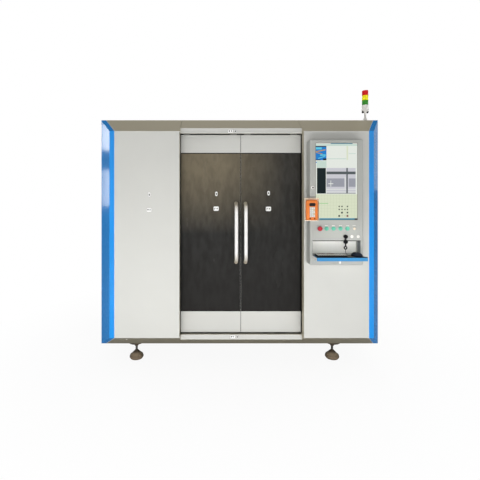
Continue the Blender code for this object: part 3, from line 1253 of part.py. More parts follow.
def build_console():
    """Console box with window, plate holes, recess pocket, tray lugs and its half of the hinges."""
    console = console_shell()
    wall = THIN_SHEET
    left, right = RECESS_LEFT, RECESS_LEFT + RECESS_WIDTH
    low, high = RECESS_BOTTOM_Z, RECESS_BOTTOM_Z + RECESS_HEIGHT
    pocket = block(
        "pocket", (left - wall, CONSOLE_Y + wall / 2, low - wall),
        (right + wall, CONSOLE_Y + RECESS_DEPTH + wall, high + wall))
    lug_z = TRAY_AXIS_Z - TRAY_LUG_HEIGHT / 2
    lugs = blocks("lugs", [
        ((edge, CONSOLE_Y - 2 * TRAY_BARREL_RADIUS - 3 * FIT, lug_z),
         (edge + TRAY_LUG_WIDTH, CONSOLE_Y + wall * 0.8, lug_z + TRAY_LUG_HEIGHT))
        for edge in (left, right - TRAY_LUG_WIDTH)])
    join(console, pocket)
    join(console, lugs)
    hollow = block("hollow", (left, CONSOLE_Y - OVERRUN, low), (right, CONSOLE_Y + RECESS_DEPTH, high))
    screen = block(
        "screen", (SCREEN_LEFT, CONSOLE_Y - OVERRUN, SCREEN_BOTTOM_Z),
        (SCREEN_LEFT + SCREEN_WIDTH, CONSOLE_Y + OVERRUN, SCREEN_BOTTOM_Z + SCREEN_HEIGHT))
    plate_hole = block(
        "plate_hole", (PLATE_LEFT + OVERRUN / 2, CONSOLE_Y - OVERRUN, PLATE_BOTTOM_Z + OVERRUN / 3),
        (PLATE_LEFT + PLATE_WIDTH - OVERRUN / 2, CONSOLE_Y + OVERRUN,
         PLATE_BOTTOM_Z + PLATE_HEIGHT - OVERRUN / 3))
    holes = [
        rod("hole", LOCK_SHAFT_RADIUS + FIT, (LOCK_X, CONSOLE_Y + OVERRUN, LOCK_Z), 2 * OVERRUN, "Y", 16),
        rod(
            "hole", PLUG_STEM_RADIUS + FIT, (PLUG_X, CONSOLE_Y + OVERRUN, SOCKET_ROW_Z), 2 * OVERRUN,
            "Y", 16),
        rod(
            "hole", TRAY_PIN_RADIUS + FIT, (left - OVERRUN, TRAY_AXIS_Y, TRAY_AXIS_Z),
            TRAY_WIDTH + 2 * OVERRUN, "X", 12)]
    cut(console, hollow, screen, plate_hole, *holes)
    sockets = []
    for inset in RIGHT_SOCKET_INSETS:
        outline = [
            (0.0, -THIN_SHEET / 2), (SOCKET_RADIUS, -THIN_SHEET / 2), (SOCKET_RADIUS, SOCKET_REACH * 0.7),
            (SOCKET_RADIUS * 0.8, SOCKET_REACH), (SOCKET_RADIUS * 0.5, SOCKET_REACH),
            (SOCKET_RADIUS * 0.5, SOCKET_REACH * 0.4), (0.0, SOCKET_REACH * 0.4)]
        sockets.append(turned("socket", outline, (CONSOLE_LEFT + inset, CONSOLE_Y, SOCKET_ROW_Z), "Y", 16))
    join(console, *sockets)
    for base_z in hinge_heights():
        join(console, *moving_hinge_half(base_z))
    set_origin(console, (HINGE_X, HINGE_Y, CONSOLE_BOTTOM_Z))
    paint(console, LIGHT_GREY)
    return console


def build_monitor():
    """Upright flat panel held behind the console's window."""
    margin = MONITOR_MARGIN
    front = CONSOLE_Y + THIN_SHEET + FIT
    monitor = block(
        "monitor", (SCREEN_LEFT - margin, front, SCREEN_BOTTOM_Z - margin),
        (SCREEN_LEFT + SCREEN_WIDTH + margin, front + MONITOR_THICKNESS,
         SCREEN_BOTTOM_Z + SCREEN_HEIGHT + margin))
    soften(monitor, THIN_SHEET, 1)
    paint(monitor, BLACK, 0.2)
    return monitor


def build_button_plate():
    """Plate with raised bezels, bored for the buttons that travel in them."""
    plate_y = CONSOLE_Y - FIT
    front = plate_y - PLATE_THICKNESS
    plate = block(
        "button_plate", (PLATE_LEFT, front, PLATE_BOTTOM_Z),
        (PLATE_LEFT + PLATE_WIDTH, plate_y, PLATE_BOTTOM_Z + PLATE_HEIGHT))
    centres = [E_STOP_X, KEY_SWITCH_X]
    centres += [FIRST_BUTTON_X + index * BUTTON_PITCH for index in range(BUTTON_COUNT)]
    bezels = []
    bores = []
    for centre in centres:
        outline = [
            (0.0, 0.0), (BEZEL_RADIUS, 0.0), (BEZEL_RADIUS, BEZEL_HEIGHT * 0.6),
            (BEZEL_RADIUS * 0.92, BEZEL_HEIGHT), (0.0, BEZEL_HEIGHT)]
        bezels.append(turned("bezel", outline, (centre, front + PLATE_THICKNESS / 2, BUTTON_Z), "Y", 16))
        bores.append(rod(
            "bore", BUTTON_STEM_RADIUS + FIT, (centre, CONSOLE_Y + OVERRUN, BUTTON_Z), 2 * OVERRUN,
            "Y", 16))
        if centre not in (E_STOP_X, KEY_SWITCH_X):
            bores.append(rod(
                "bore", BUTTON_RADIUS + FIT, (centre, front - FIT, BUTTON_Z), OVERRUN, "Y", 16))
    join(plate, *bezels)
    cut(plate, *bores)
    paint(plate, WHITE, 0.35)
    return plate


def button(name, x, cap_outline, colour):
    """A push button: a cap turned to an outline, on a stem through the plate."""
    front = CONSOLE_Y - FIT - PLATE_THICKNESS
    outline = [(0.0, -STEM_LENGTH), (BUTTON_STEM_RADIUS, -STEM_LENGTH)] + cap_outline
    item = turned(name, outline, (x, front, BUTTON_Z), "Y", 16)
    set_origin(item, (x, front, BUTTON_Z))
    paint(item, colour, 0.3)
    return item


def build_controls(console):
    """Emergency stop, four green buttons, key switch, door lock and the plate they stand in."""
    plate = build_button_plate()
    gap = BUTTON_TRAVEL + RUNNING_GAP / 4
    cap = [
        (BUTTON_STEM_RADIUS, gap), (BUTTON_RADIUS, gap), (BUTTON_RADIUS, BUTTON_HEIGHT * 0.9),
        (BUTTON_RADIUS * 0.85, BUTTON_HEIGHT), (0.0, BUTTON_HEIGHT)]
    controls = [plate]
    names = ("start_button", "servo_button", "laser_button", "light_button")
    for index, name in enumerate(names[:BUTTON_COUNT]):
        controls.append(button(name, FIRST_BUTTON_X + index * BUTTON_PITCH, cap, GREEN))
    collar = BEZEL_HEIGHT + E_STOP_TRAVEL + RUNNING_GAP / 2
    mushroom = [
        (BUTTON_STEM_RADIUS, collar), (E_STOP_RADIUS * 0.9, collar), (E_STOP_RADIUS, collar * 1.15),
        (E_STOP_RADIUS, E_STOP_HEIGHT * 0.75), (E_STOP_RADIUS * 0.8, E_STOP_HEIGHT * 0.94),
        (0.0, E_STOP_HEIGHT)]
    controls.append(button("e_stop", E_STOP_X, mushroom, RED))
    key_base = BEZEL_HEIGHT + FIT
    knob = [
        (BUTTON_STEM_RADIUS, key_base), (KEY_SWITCH_RADIUS, key_base), (KEY_SWITCH_RADIUS, BUTTON_HEIGHT),
        (KEY_SWITCH_RADIUS * 0.85, BUTTON_HEIGHT * 1.1), (0.0, BUTTON_HEIGHT * 1.1)]
    switch = button("key_switch", KEY_SWITCH_X, knob, CREAM)
    front = CONSOLE_Y - FIT - PLATE_THICKNESS
    wing = block(
        "wing",
        (KEY_SWITCH_X - KEY_SWITCH_RADIUS / 4, front - BUTTON_HEIGHT * 1.9,
         BUTTON_Z - KEY_SWITCH_RADIUS * 0.8),
        (KEY_SWITCH_X + KEY_SWITCH_RADIUS / 4, front - BUTTON_HEIGHT, BUTTON_Z + KEY_SWITCH_RADIUS * 0.8))
    set_origin(switch, (0.0, 0.0, 0.0))
    join(switch, wing)
    set_origin(switch, (KEY_SWITCH_X, front, BUTTON_Z))
    controls.append(switch)

    outline = [
        (0.0, -CONSOLE_RADIUS), (LOCK_SHAFT_RADIUS, -CONSOLE_RADIUS), (LOCK_SHAFT_RADIUS, FIT),
        (LOCK_RADIUS, FIT), (LOCK_RADIUS, THIN_SHEET), (LOCK_RADIUS * 0.8, THIN_SHEET * 2),
        (0.0, THIN_SHEET * 2)]
    lock = turned("console_lock", outline, (LOCK_X, CONSOLE_Y, LOCK_Z), "Y", 16)
    cam = block(
        "cam",
        (LOCK_X - LOCK_SHAFT_RADIUS / 2, CONSOLE_Y + CONSOLE_RADIUS - THIN_SHEET,
         LOCK_Z - LOCK_RADIUS * 1.25),
        (LOCK_X + LOCK_SHAFT_RADIUS / 2, CONSOLE_Y + CONSOLE_RADIUS, LOCK_Z + LOCK_SHAFT_RADIUS / 2))
    join(lock, cam)
    slot = block(
        "slot", (LOCK_X - FIT * 3, CONSOLE_Y - THIN_SHEET * 3, LOCK_Z - LOCK_RADIUS / 3),
        (LOCK_X + FIT * 3, CONSOLE_Y - THIN_SHEET, LOCK_Z + LOCK_RADIUS / 3))
    cut(lock, slot)
    set_origin(lock, (LOCK_X, CONSOLE_Y, LOCK_Z))
    paint(lock, STEEL, 0.3, 0.8)
    carry(console, *controls, lock)


def build_remote(console):
    """Shallow cream holder on the console's face with the orange remote standing in it."""
    right = HOLDER_LEFT + HOLDER_WIDTH
    top = HOLDER_BOTTOM_Z + HOLDER_HEIGHT
    back = CONSOLE_Y - FIT
    wall = HOLDER_WALL
    holder = block("remote_holder", (HOLDER_LEFT, back - HOLDER_DEPTH, HOLDER_BOTTOM_Z), (right, back, top))
    soften(holder, wall, 1)
    inside = block(
        "inside", (HOLDER_LEFT + wall, back - HOLDER_DEPTH - OVERRUN, HOLDER_BOTTOM_Z + wall * 2),
        (right - wall, back - wall, top - wall))
    cut(holder, inside)
    paint(holder, CREAM, 0.5)
    middle = (HOLDER_LEFT + right) / 2
    low = HOLDER_BOTTOM_Z + wall * 2 + FIT
    face = back - wall - FIT
    remote = block(
        "remote", (middle - REMOTE_WIDTH / 2, face - REMOTE_DEPTH, low),
        (middle + REMOTE_WIDTH / 2, face, low + REMOTE_HEIGHT))
    soften(remote, REMOTE_ROUNDING, 3)
    set_origin(remote, (middle, face, low))
    paint(smooth(remote), ORANGE, 0.5)
    carry(console, holder, remote)


def build_tray():
    """Folding tray: plate, blue lip, hinge barrel with pins, and the quarter-turn latch under it."""
    left, right = TRAY_LEFT, TRAY_LEFT + TRAY_WIDTH
    front = CONSOLE_Y - TRAY_REACH
    plate_back = TRAY_AXIS_Y - TRAY_BARREL_RADIUS * 2
    top = TRAY_TOP_Z
    tray = folded("tray", [
        (front, top - TRAY_LIP), (front, top), (plate_back, top)], left, right, THIN_SHEET)
    reach = RECESS_LEFT + TRAY_LUG_WIDTH + 2 * FIT
    reach_right = RECESS_LEFT + RECESS_WIDTH - TRAY_LUG_WIDTH - 2 * FIT
    web = block(
        "web", (reach, plate_back - SHEET, top - THIN_SHEET), (reach_right, TRAY_AXIS_Y, top))
    barrel = rod(
        "barrel", TRAY_BARREL_RADIUS, (reach, TRAY_AXIS_Y, TRAY_AXIS_Z), reach_right - reach, "X", 12)
    pin = rod(
        "pin", TRAY_PIN_RADIUS, (RECESS_LEFT + TRAY_LUG_WIDTH / 2, TRAY_AXIS_Y, TRAY_AXIS_Z),
        RECESS_WIDTH - TRAY_LUG_WIDTH, "X", 12)
    join(tray, web)
    join(tray, barrel)
    join(tray, pin)
    latch_y = front + LATCH_RADIUS * 2
    hole = rod("hole", LATCH_RADIUS / 2 + FIT, (LATCH_X, latch_y, top - OVERRUN), 2 * OVERRUN, segments=12)
    cut(tray, hole)
    set_origin(tray, (LATCH_X, TRAY_AXIS_Y, TRAY_AXIS_Z))
    paint(tray, BLUE, 0.3)
    plate_low = top - THIN_SHEET
    outline = [
        (0.0, plate_low - LATCH_HEIGHT - OVERRUN / 2),
        (LATCH_RADIUS, plate_low - LATCH_HEIGHT - OVERRUN / 2),
        (LATCH_RADIUS, plate_low - FIT), (LATCH_RADIUS / 2, plate_low - FIT), (LATCH_RADIUS / 2, top),
        (0.0, top)]
    latch = turned("tray_latch", outline, (LATCH_X, latch_y, 0.0), segments=12)
    set_origin(latch, (LATCH_X, latch_y, plate_low))
    paint(latch, WHITE, 0.3)
    return tray, latch


def build_keyboard():
    """Compact keyboard with its keys standing on the case."""
    low = TRAY_TOP_Z + TRAY_MAT_THICKNESS / 3
    rear = TRAY_AXIS_Y - TRAY_BARREL_RADIUS * 2 - RUNNING_GAP
    front = rear - KEYBOARD_DEPTH
    right = KEYBOARD_LEFT + KEYBOARD_WIDTH
    deck = low + KEYBOARD_THICKNESS
    keyboard = extruded("keyboard", [
        (front, low), (rear, low), (rear, deck + KEY_HEIGHT / 2), (front, deck - KEY_HEIGHT / 2)],
        "YZ", KEYBOARD_LEFT, KEYBOARD_WIDTH)
    margin = KEY_HEIGHT
    row_pitch = (KEYBOARD_DEPTH - 2 * margin) / KEY_ROWS
    key_pitch = (KEYBOARD_WIDTH - 2 * margin) / KEY_COLUMNS
    keys = []
    for row in range(KEY_ROWS):
        y = front + margin + row * row_pitch
        rise = (row + 0.5) / KEY_ROWS * KEY_HEIGHT
        top = deck + rise + KEY_HEIGHT / 2
        if row == 0:
            spans = [(0, 3), (3, 10), (10, KEY_COLUMNS)]
        else:
            spans = [(column, column + 2) for column in range(0, KEY_COLUMNS, 2)]
        for first, last in spans:
            x = KEYBOARD_LEFT + margin
            keys.append((
                (x + (first + KEY_GAP_SHARE / 2) * key_pitch, y + row_pitch * KEY_GAP_SHARE / 2,
                 deck - KEY_HEIGHT),
                (x + (last - KEY_GAP_SHARE / 2) * key_pitch, y + row_pitch * (1 - KEY_GAP_SHARE / 2), top)))
    join(keyboard, blocks("keys", keys))
    set_origin(keyboard, ((KEYBOARD_LEFT + right) / 2, (front + rear) / 2, low))
    paint(keyboard, BLACK, 0.5)
    return keyboard


def mouse_place():
    """Centre of the mouse on the tray."""
    return Vector((MOUSE_X, CONSOLE_Y - MOUSE_REACH, TRAY_TOP_Z + FIT))


def build_mouse():
    """A domed mouse with a flat base, turned on the tray."""
    shape = bmesh.new()
    bmesh.ops.create_uvsphere(shape, u_segments=16, v_segments=10, radius=1.0)
    bmesh.ops.bisect_plane(
        shape, geom=shape.verts[:] + shape.edges[:] + shape.faces[:], dist=FIT / 100,
        plane_co=(0.0, 0.0, -0.3), plane_no=(0.0, 0.0, -1.0), clear_outer=True)
    bmesh.ops.holes_fill(shape, edges=[edge for edge in shape.edges if edge.is_boundary])
    bmesh.ops.translate(shape, verts=shape.verts, vec=(0.0, 0.0, 0.3))
    bmesh.ops.scale(shape, verts=shape.verts, vec=(MOUSE_WIDTH / 2, MOUSE_LENGTH / 2, MOUSE_HEIGHT / 1.3))
    bmesh.ops.rotate(shape, verts=shape.verts, matrix=Matrix.Rotation(math.radians(MOUSE_TURN), 3, "Z"))
    mouse = smooth(object_from("mouse", shape))
    mouse.location = mouse_place()
    paint(mouse, BLACK, 0.25)
    return mouse


def build_plug(console):
    """Moulded right-angled plug hanging from the left socket of the lower row."""
    y = CONSOLE_Y - FIT
    outline = [
        (0.0, -CONSOLE_RADIUS), (PLUG_STEM_RADIUS, -CONSOLE_RADIUS), (PLUG_STEM_RADIUS, 0.0),
        (PLUG_HEAD_RADIUS, 0.0), (PLUG_HEAD_RADIUS, PLUG_HEAD_DEPTH * 0.85),
        (PLUG_HEAD_RADIUS * 0.85, PLUG_HEAD_DEPTH), (0.0, PLUG_HEAD_DEPTH)]
    plug = turned("lead_plug", outline, (PLUG_X, y, SOCKET_ROW_Z), "Y", 16)
    body_z = SOCKET_ROW_Z - PLUG_BODY_DROP
    body = turned("body", [
        (0.0, 0.0), (PLUG_BODY_RADIUS, 0.0), (PLUG_BODY_RADIUS, PLUG_BODY_DEPTH * 0.8),
        (PLUG_BODY_RADIUS * 0.8, PLUG_BODY_DEPTH), (0.0, PLUG_BODY_DEPTH)], (PLUG_X, y, body_z), "Y", 16)
    ring_z = SOCKET_ROW_Z - PLUG_RING_DROP
    ring = turned("ring", [
        (PLUG_RING_RADIUS * 0.4, 0.0), (PLUG_RING_RADIUS, 0.0), (PLUG_RING_RADIUS, PLUG_RING_DEPTH),
        (PLUG_RING_RADIUS * 0.4, PLUG_RING_DEPTH),
        (PLUG_RING_RADIUS * 0.4, 0.0)], (PLUG_X, y, ring_z), "Y", 16)
    centre = y - PLUG_NECK_RADIUS
    neck = rod("neck", PLUG_NECK_RADIUS * 0.9, (PLUG_X, centre, ring_z + PLUG_RING_RADIUS * 0.7),
               SOCKET_ROW_Z - ring_z - PLUG_RING_RADIUS * 0.7, segments=12)
    relief = rod(
        "relief", PLUG_RING_DEPTH * 0.45,
        (PLUG_X, y - PLUG_RING_DEPTH / 2, ring_z - PLUG_RING_RADIUS * 1.3),
        PLUG_RING_RADIUS * 0.6, segments=12)
    join(plug, body, ring)
    join(plug, neck)
    join(plug, relief)
    set_origin(plug, (PLUG_X, y, SOCKET_ROW_Z))
    paint(smooth(plug), BLACK, 0.5)
    carry(console, plug)
    return Vector((PLUG_X, y - PLUG_RING_DEPTH / 2, ring_z - PLUG_RING_RADIUS * 1.3 - FIT))


def spline_points(knots, steps):
    """Points of a smooth curve through the knots, a fixed number between each two."""
    padded = [2 * knots[0] - knots[1]] + knots + [2 * knots[-1] - knots[-2]]
    points = []
    for index in range(1, len(padded) - 2):
        before, start, end, after = padded[index - 1:index + 3]
        for step in range(steps):
            t = step / steps
            point = 0.5 * (
                2 * start + (end - before) * t + (2 * before - 5 * start + 4 * end - after) * t ** 2
                + (3 * start - before - 3 * end + after) * t ** 3)
            points.append(point)
    points.append(knots[-1])
    return points


def build_lead(start):
    """The mouse's lead, from the plug down onto the tray and round to the mouse's nose."""
    mouse = mouse_place()
    turn = math.radians(MOUSE_TURN)
    ahead = Vector((-math.sin(turn), math.cos(turn), 0.0))
    rest_z = TRAY_TOP_Z + LEAD_RADIUS + 2 * FIT
    nose = mouse + ahead * (MOUSE_LENGTH * 0.53)
    nose.z = rest_z + LEAD_RADIUS * 2
    knots = [
        start,
        start + Vector((0.0, -0.001, -0.012)),
        start + Vector((0.003, -0.008, -0.028)),
        Vector((start.x + 0.010, start.y - 0.018, rest_z + 0.003)),
        Vector((start.x + 0.021, start.y - 0.020, rest_z)),
        Vector((start.x + 0.030, start.y - 0.014, rest_z + 0.001)),
        nose]
    curve = bpy.data.curves.new("mouse_lead", "CURVE")
    curve.dimensions = "3D"
    curve.bevel_depth = LEAD_RADIUS
    curve.bevel_resolution = 2
    curve.use_fill_caps = True
    points = spline_points(knots, 3)
    spline = curve.splines.new("POLY")
    spline.points.add(len(points) - 1)
    for knot, point in zip(spline.points, points):
        knot.co = (*point, 1.0)
    lead = bpy.data.objects.new("mouse_lead", curve)
    MACHINE.objects.link(lead)
    paint(lead, BLACK, 0.5)
    return lead


def build_operator_side():
    """The console with everything that it carries."""
    console = build_console()
    monitor = build_monitor()
    build_controls(console)
    build_remote(console)
    tray, latch = build_tray()
    keyboard = build_keyboard()
    mouse = build_mouse()
    carry(tray, latch, keyboard, mouse)
    carry(console, monitor, tray)
    lead_start = build_plug(console)
    lead = build_lead(lead_start)
    carry(console, lead)


def build_machine():
    """Every sub-part of the machine."""
    build_nose()
    build_track_covers()
    base = build_base_frame()
    build_upper_frame()
    build_feet()
    build_shell()
    build_duct()
    build_door_track()
    build_door("right_door", 1)
    build_door("left_door", -1)
    build_chamber()
    slat_top = build_slat_table()
    build_gantry(slat_top)
    join(base, build_drawer())
    build_side_bay_units()
    build_tower()
    build_operator_side()


build_machine()
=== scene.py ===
"""Looks of an enclosed fibre laser cutting machine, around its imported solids.

Metres, +Z up, the front looks along -Y. Each sub-assembly is a class that holds its sizes and dresses
the solids it stands on; each finish is a small class that makes one procedural material.
"""

import logging
import math
from collections.abc import Iterable
from dataclasses import dataclass
from enum import Enum
from itertools import product

import bmesh
import bpy
from mathutils import Matrix, Vector


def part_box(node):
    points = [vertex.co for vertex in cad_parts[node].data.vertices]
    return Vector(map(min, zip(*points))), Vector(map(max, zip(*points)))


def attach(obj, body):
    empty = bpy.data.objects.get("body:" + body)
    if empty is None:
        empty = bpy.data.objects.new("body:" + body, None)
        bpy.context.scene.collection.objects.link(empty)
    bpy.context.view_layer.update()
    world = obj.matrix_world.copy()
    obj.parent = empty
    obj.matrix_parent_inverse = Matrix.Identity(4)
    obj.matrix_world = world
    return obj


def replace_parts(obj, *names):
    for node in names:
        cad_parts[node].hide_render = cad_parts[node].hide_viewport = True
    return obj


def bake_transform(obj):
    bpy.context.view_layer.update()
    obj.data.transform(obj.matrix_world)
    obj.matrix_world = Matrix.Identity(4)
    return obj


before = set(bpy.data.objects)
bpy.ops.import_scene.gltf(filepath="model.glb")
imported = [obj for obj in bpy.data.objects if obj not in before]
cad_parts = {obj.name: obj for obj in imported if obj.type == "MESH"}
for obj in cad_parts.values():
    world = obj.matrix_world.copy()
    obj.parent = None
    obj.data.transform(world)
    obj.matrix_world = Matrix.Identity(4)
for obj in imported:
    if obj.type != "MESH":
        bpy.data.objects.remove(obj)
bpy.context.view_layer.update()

logging.basicConfig(level=logging.INFO, format="%(message)s")
log = logging.getLogger("machine")

Point = tuple[float, float, float]
Colour = tuple[float, float, float]
Pair = tuple[float, float]
Socket = bpy.types.NodeSocket
FRONT_Y = -0.9005
NOSE_BACK_Y = -0.6655
REAR_Y = 1.0495
NOSE_INSET = 0.147
NOSE_DEPTH = 0.235
NOSE_SLOPE = NOSE_INSET / NOSE_DEPTH
STRIP_Y = -0.8405
DOOR_Y = -0.7955
CONSOLE_Y = -1.0055
ROOF_Z = 2.242
BODY_BOTTOM_Z = 0.167
FRONT_TOP_Z = 2.095
FRONT_BOTTOM_Z = 0.314
SIDES = ((-1, "left"), (1, "right"))
SUNK = 0.0004
WELD = 1e-6
PATTERN_LOW = 0.3
PATTERN_HIGH = 0.7
CORNER_SHADE = 0.0012
CORNER_STEPS = 4
LABEL_RIM = 0.0015
LABEL_SEAT = 0.0002
RIM_RISE = 0.0004
FILM_RISE = 0.0006
INK_RISE = 0.0009
INK_CORNER = 0.001


class Axis(Enum):
    """The axis that a turned piece stands on, with the axis that it is tipped about."""

    X = "Y"
    Y = "X"
    Z = ""


def linear(colour: Colour) -> tuple[float, float, float, float]:
    """Turn a colour as it is seen, from 0 to 1, into linear light with an alpha of 1."""
    parts = [part / 12.92 if part <= 0.04045 else ((part + 0.055) / 1.055) ** 2.4 for part in colour]
    return (*parts, 1.0)


def shade(colour: Colour, factor: float) -> Colour:
    """Make a colour lighter or darker by a factor."""
    return tuple(min(1.0, part * factor) for part in colour)


def put(name: str, data: bpy.types.ID) -> bpy.types.Object:
    """Put a new object into the scene.

    Args:
        name: The object's name.
        data: Its mesh, camera or lamp.

    Returns:
        The new object.
    """
    item = bpy.data.objects.new(name, data)
    bpy.context.scene.collection.objects.link(item)
    return item


class Bench:
    """The node tree of a material or a world, with short ways to add and wire its nodes."""

    def __init__(self, owner: bpy.types.Material | bpy.types.World) -> None:
        """Open the tree.

        Args:
            owner: The new material or world.
        """
        owner.use_nodes = True
        self.tree = owner.node_tree
        self.shader = self.tree.nodes.get("Principled BSDF")
        self.place = self.node("TexCoord")

    def node(self, kind: str, **settings: object) -> bpy.types.Node:
        """Add a node.

        Args:
            kind: The node's type, without its Shader Node prefix.
            **settings: Properties to set on it.

        Returns:
            The new node.
        """
        made = self.tree.nodes.new("ShaderNode" + kind)
        for key, value in settings.items():
            setattr(made, key, value)
        return made

    def wire(self, source: Socket, target: Socket) -> None:
        """Link an output to an input."""
        self.tree.links.new(source, target)

    def set(self, **values: object) -> None:
        """Set the shader's own sockets, named with underscores for spaces."""
        for key, value in values.items():
            self.shader.inputs[key.replace("_", " ")].default_value = value

    def along(self, axis: str, source: str = "Object") -> Socket:
        """Give one part of the texture coordinates.

        Args:
            axis: X, Y or Z.
            source: The output of the texture coordinates that it is taken from.

        Returns:
            The part's output.
        """
        parts = self.node("SeparateXYZ")
        self.wire(self.place.outputs[source], parts.inputs["Vector"])
        return parts.outputs[axis]

    def maths(self, operation: str, first: Socket, second: Socket | float | None = None) -> Socket:
        """Work out a value.

        Args:
            operation: Blender's name of the operation.
            first: The first value.
            second: The second value, if the operation has one.

        Returns:
            The result.
        """
        node = self.node("Math", operation=operation)
        self.wire(first, node.inputs[0])
        if isinstance(second, float):
            node.inputs[1].default_value = second
        elif second is not None:
            self.wire(second, node.inputs[1])
        return node.outputs[0]

    def noise(self, scale: float, detail: float = 2.0, stretch: Point = (1.0, 1.0, 1.0)) -> Socket:
        """Add noise that follows the object.

        Args:
            scale: Cells in a metre.
            detail: Octaves of the noise.
            stretch: How much finer it is along each axis.

        Returns:
            The noise's factor.
        """
        mapping, texture = self.node("Mapping"), self.node("TexNoise")
        mapping.inputs["Scale"].default_value = stretch
        texture.inputs["Scale"].default_value = scale
        texture.inputs["Detail"].default_value = detail
        self.wire(self.place.outputs["Object"], mapping.inputs["Vector"])
        self.wire(mapping.outputs["Vector"], texture.inputs["Vector"])
        return texture.outputs["Fac"]

    def ramp(self, source: Socket, low: float, high: float, start: float = 0.0, end: float = 1.0) -> Socket:
        """Spread a value over a new range.

        Args:
            source: The value.
            low: The value that gives the start.
            high: The value that gives the end.
            start: The result at low.
            end: The result at high.

        Returns:
            The value in its new range.
        """
        node = self.node("MapRange")
        for name, value in (("From Min", low), ("From Max", high), ("To Min", start), ("To Max", end)):
            node.inputs[name].default_value = value
        self.wire(source, node.inputs["Value"])
        return node.outputs["Result"]

    def blend(self, share: Socket, first: Colour | Socket, second: Colour | Socket) -> Socket:
        """Mix two colours by a share.

        Args:
            share: 0 gives the first colour and 1 the second.
            first: A colour as it is seen, or an output.
            second: A colour as it is seen, or an output.

        Returns:
            The mixed colour.
        """
        node = self.node("Mix", data_type="RGBA")
        self.wire(share, node.inputs["Factor"])
        for name, tone in (("A", first), ("B", second)):
            if isinstance(tone, tuple):
                node.inputs[name].default_value = linear(tone)
            else:
                self.wire(tone, node.inputs[name])
        return node.outputs["Result"]

    def coat(self, tone: Socket) -> None:
        """Paint the surface with a colour output."""
        self.wire(tone, self.shader.inputs["Base Color"])

    def grain(self, pattern: Socket, gloss: Pair, strength: float, distance: float,
              low: float = PATTERN_LOW) -> None:
        """Let a pattern vary the gloss and raise the surface, with its corners eased.

        Args:
            pattern: The pattern.
            gloss: How matt the surface is where the pattern is low and where it is high.
            strength: How strong the relief is.
            distance: How deep the relief is, in metres.
            low: What counts as low.
        """
        self.wire(self.ramp(pattern, low, PATTERN_HIGH, *gloss), self.shader.inputs["Roughness"])
        eased, relief = self.node("Bevel", samples=4), self.node("Bump")
        eased.inputs["Radius"].default_value = CORNER_SHADE
        relief.inputs["Strength"].default_value = strength
        relief.inputs["Distance"].default_value = distance
        self.wire(eased.outputs["Normal"], relief.inputs["Normal"])
        self.wire(pattern, relief.inputs["Height"])
        self.wire(relief.outputs["Normal"], self.shader.inputs["Normal"])

    def mix_shaders(self, share: Socket, first: Socket, second: Socket, target: Socket) -> None:
        """Wire two shaders into a target, mixed by a share.

        Args:
            share: 0 gives the first shader and 1 the second.
            first: The first shader.
            second: The second shader.
            target: The input that takes the mix.
        """
        mix = self.node("MixShader")
        for source, socket in zip((share, first, second), mix.inputs):
            self.wire(source, socket)
        self.wire(mix.outputs[0], target)


@dataclass(frozen=True)
class Finish:
    """What every finish has.

    Attributes:
        name: The material's name.
        colour: The colour as it is seen.
        roughness: How matt it is.
    """

    name: str
    colour: Colour
    roughness: float = 0.4

    def material(self) -> bpy.types.Material:
        """Give the finish's material, made the first time it is asked for."""
        name = "finish_" + self.name
        made = bpy.data.materials.get(name)
        if made is None:
            made = bpy.data.materials.new(name)
            bench = Bench(made)
            bench.set(Base_Color=linear(self.colour), Roughness=self.roughness)
            self.work(bench)
        return made

    def gloss(self, less: float, more: float) -> Pair:
        """Give the roughness a little below and above the finish's own."""
        return self.roughness - less, self.roughness + more

    def tones(self, dark: float, light: float) -> tuple[Colour, Colour]:
        """Give a darker and a lighter tone of the finish's colour."""
        return shade(self.colour, dark), shade(self.colour, light)

    def work(self, bench: Bench) -> None:
        """Wire the finish's own pattern."""


@dataclass(frozen=True)
class PowderCoat(Finish):
    """Powder coat on sheet: a fine orange peel, and another colour on sloping faces if there is one, darkened
    as painted shade where the faces slope down.

    Attributes:
        slope_colour: The colour of faces that slope up or down, if it differs; faces that slope down get it
            darkened as painted shade.
        peel: Cells of the orange peel in a metre.
    """

    slope_colour: Colour | None = None
    peel: float = 420.0

    def work(self, bench: Bench) -> None:
        """Wire the peel, a faint unevenness, the second colour and the painted shade on downward slopes."""
        tone = bench.blend(bench.noise(1.7, 3.0), *self.tones(0.975, 1.02))
        if self.slope_colour:
            # painted shade: faces that slope down get the second colour darkened to 0.79
            under = bench.ramp(bench.along("Z", "Normal"), -0.2, -0.3)
            slope = bench.blend(under, self.slope_colour, shade(self.slope_colour, 0.79))
            facing = bench.maths("ABSOLUTE", bench.along("Y", "Normal"))
            tone = bench.blend(bench.ramp(facing, 0.97, 0.90), tone, slope)
        bench.coat(tone)
        bench.grain(bench.noise(self.peel), self.gloss(0.05, 0.06), 0.25, 0.0004)


@dataclass(frozen=True)
class Enamel(Finish):
    """Glossy enamel under a clear coat, with a trace of polishing haze."""

    def work(self, bench: Bench) -> None:
        """Wire the haze and the faint unevenness."""
        bench.set(Coat_Weight=0.25, Coat_Roughness=0.12, Specular_IOR_Level=0.25)
        bench.coat(bench.blend(bench.noise(2.3, 3.0), *self.tones(0.95, 1.04)))
        bench.grain(bench.noise(260.0), self.gloss(0.04, 0.05), 0.15, 0.0003)


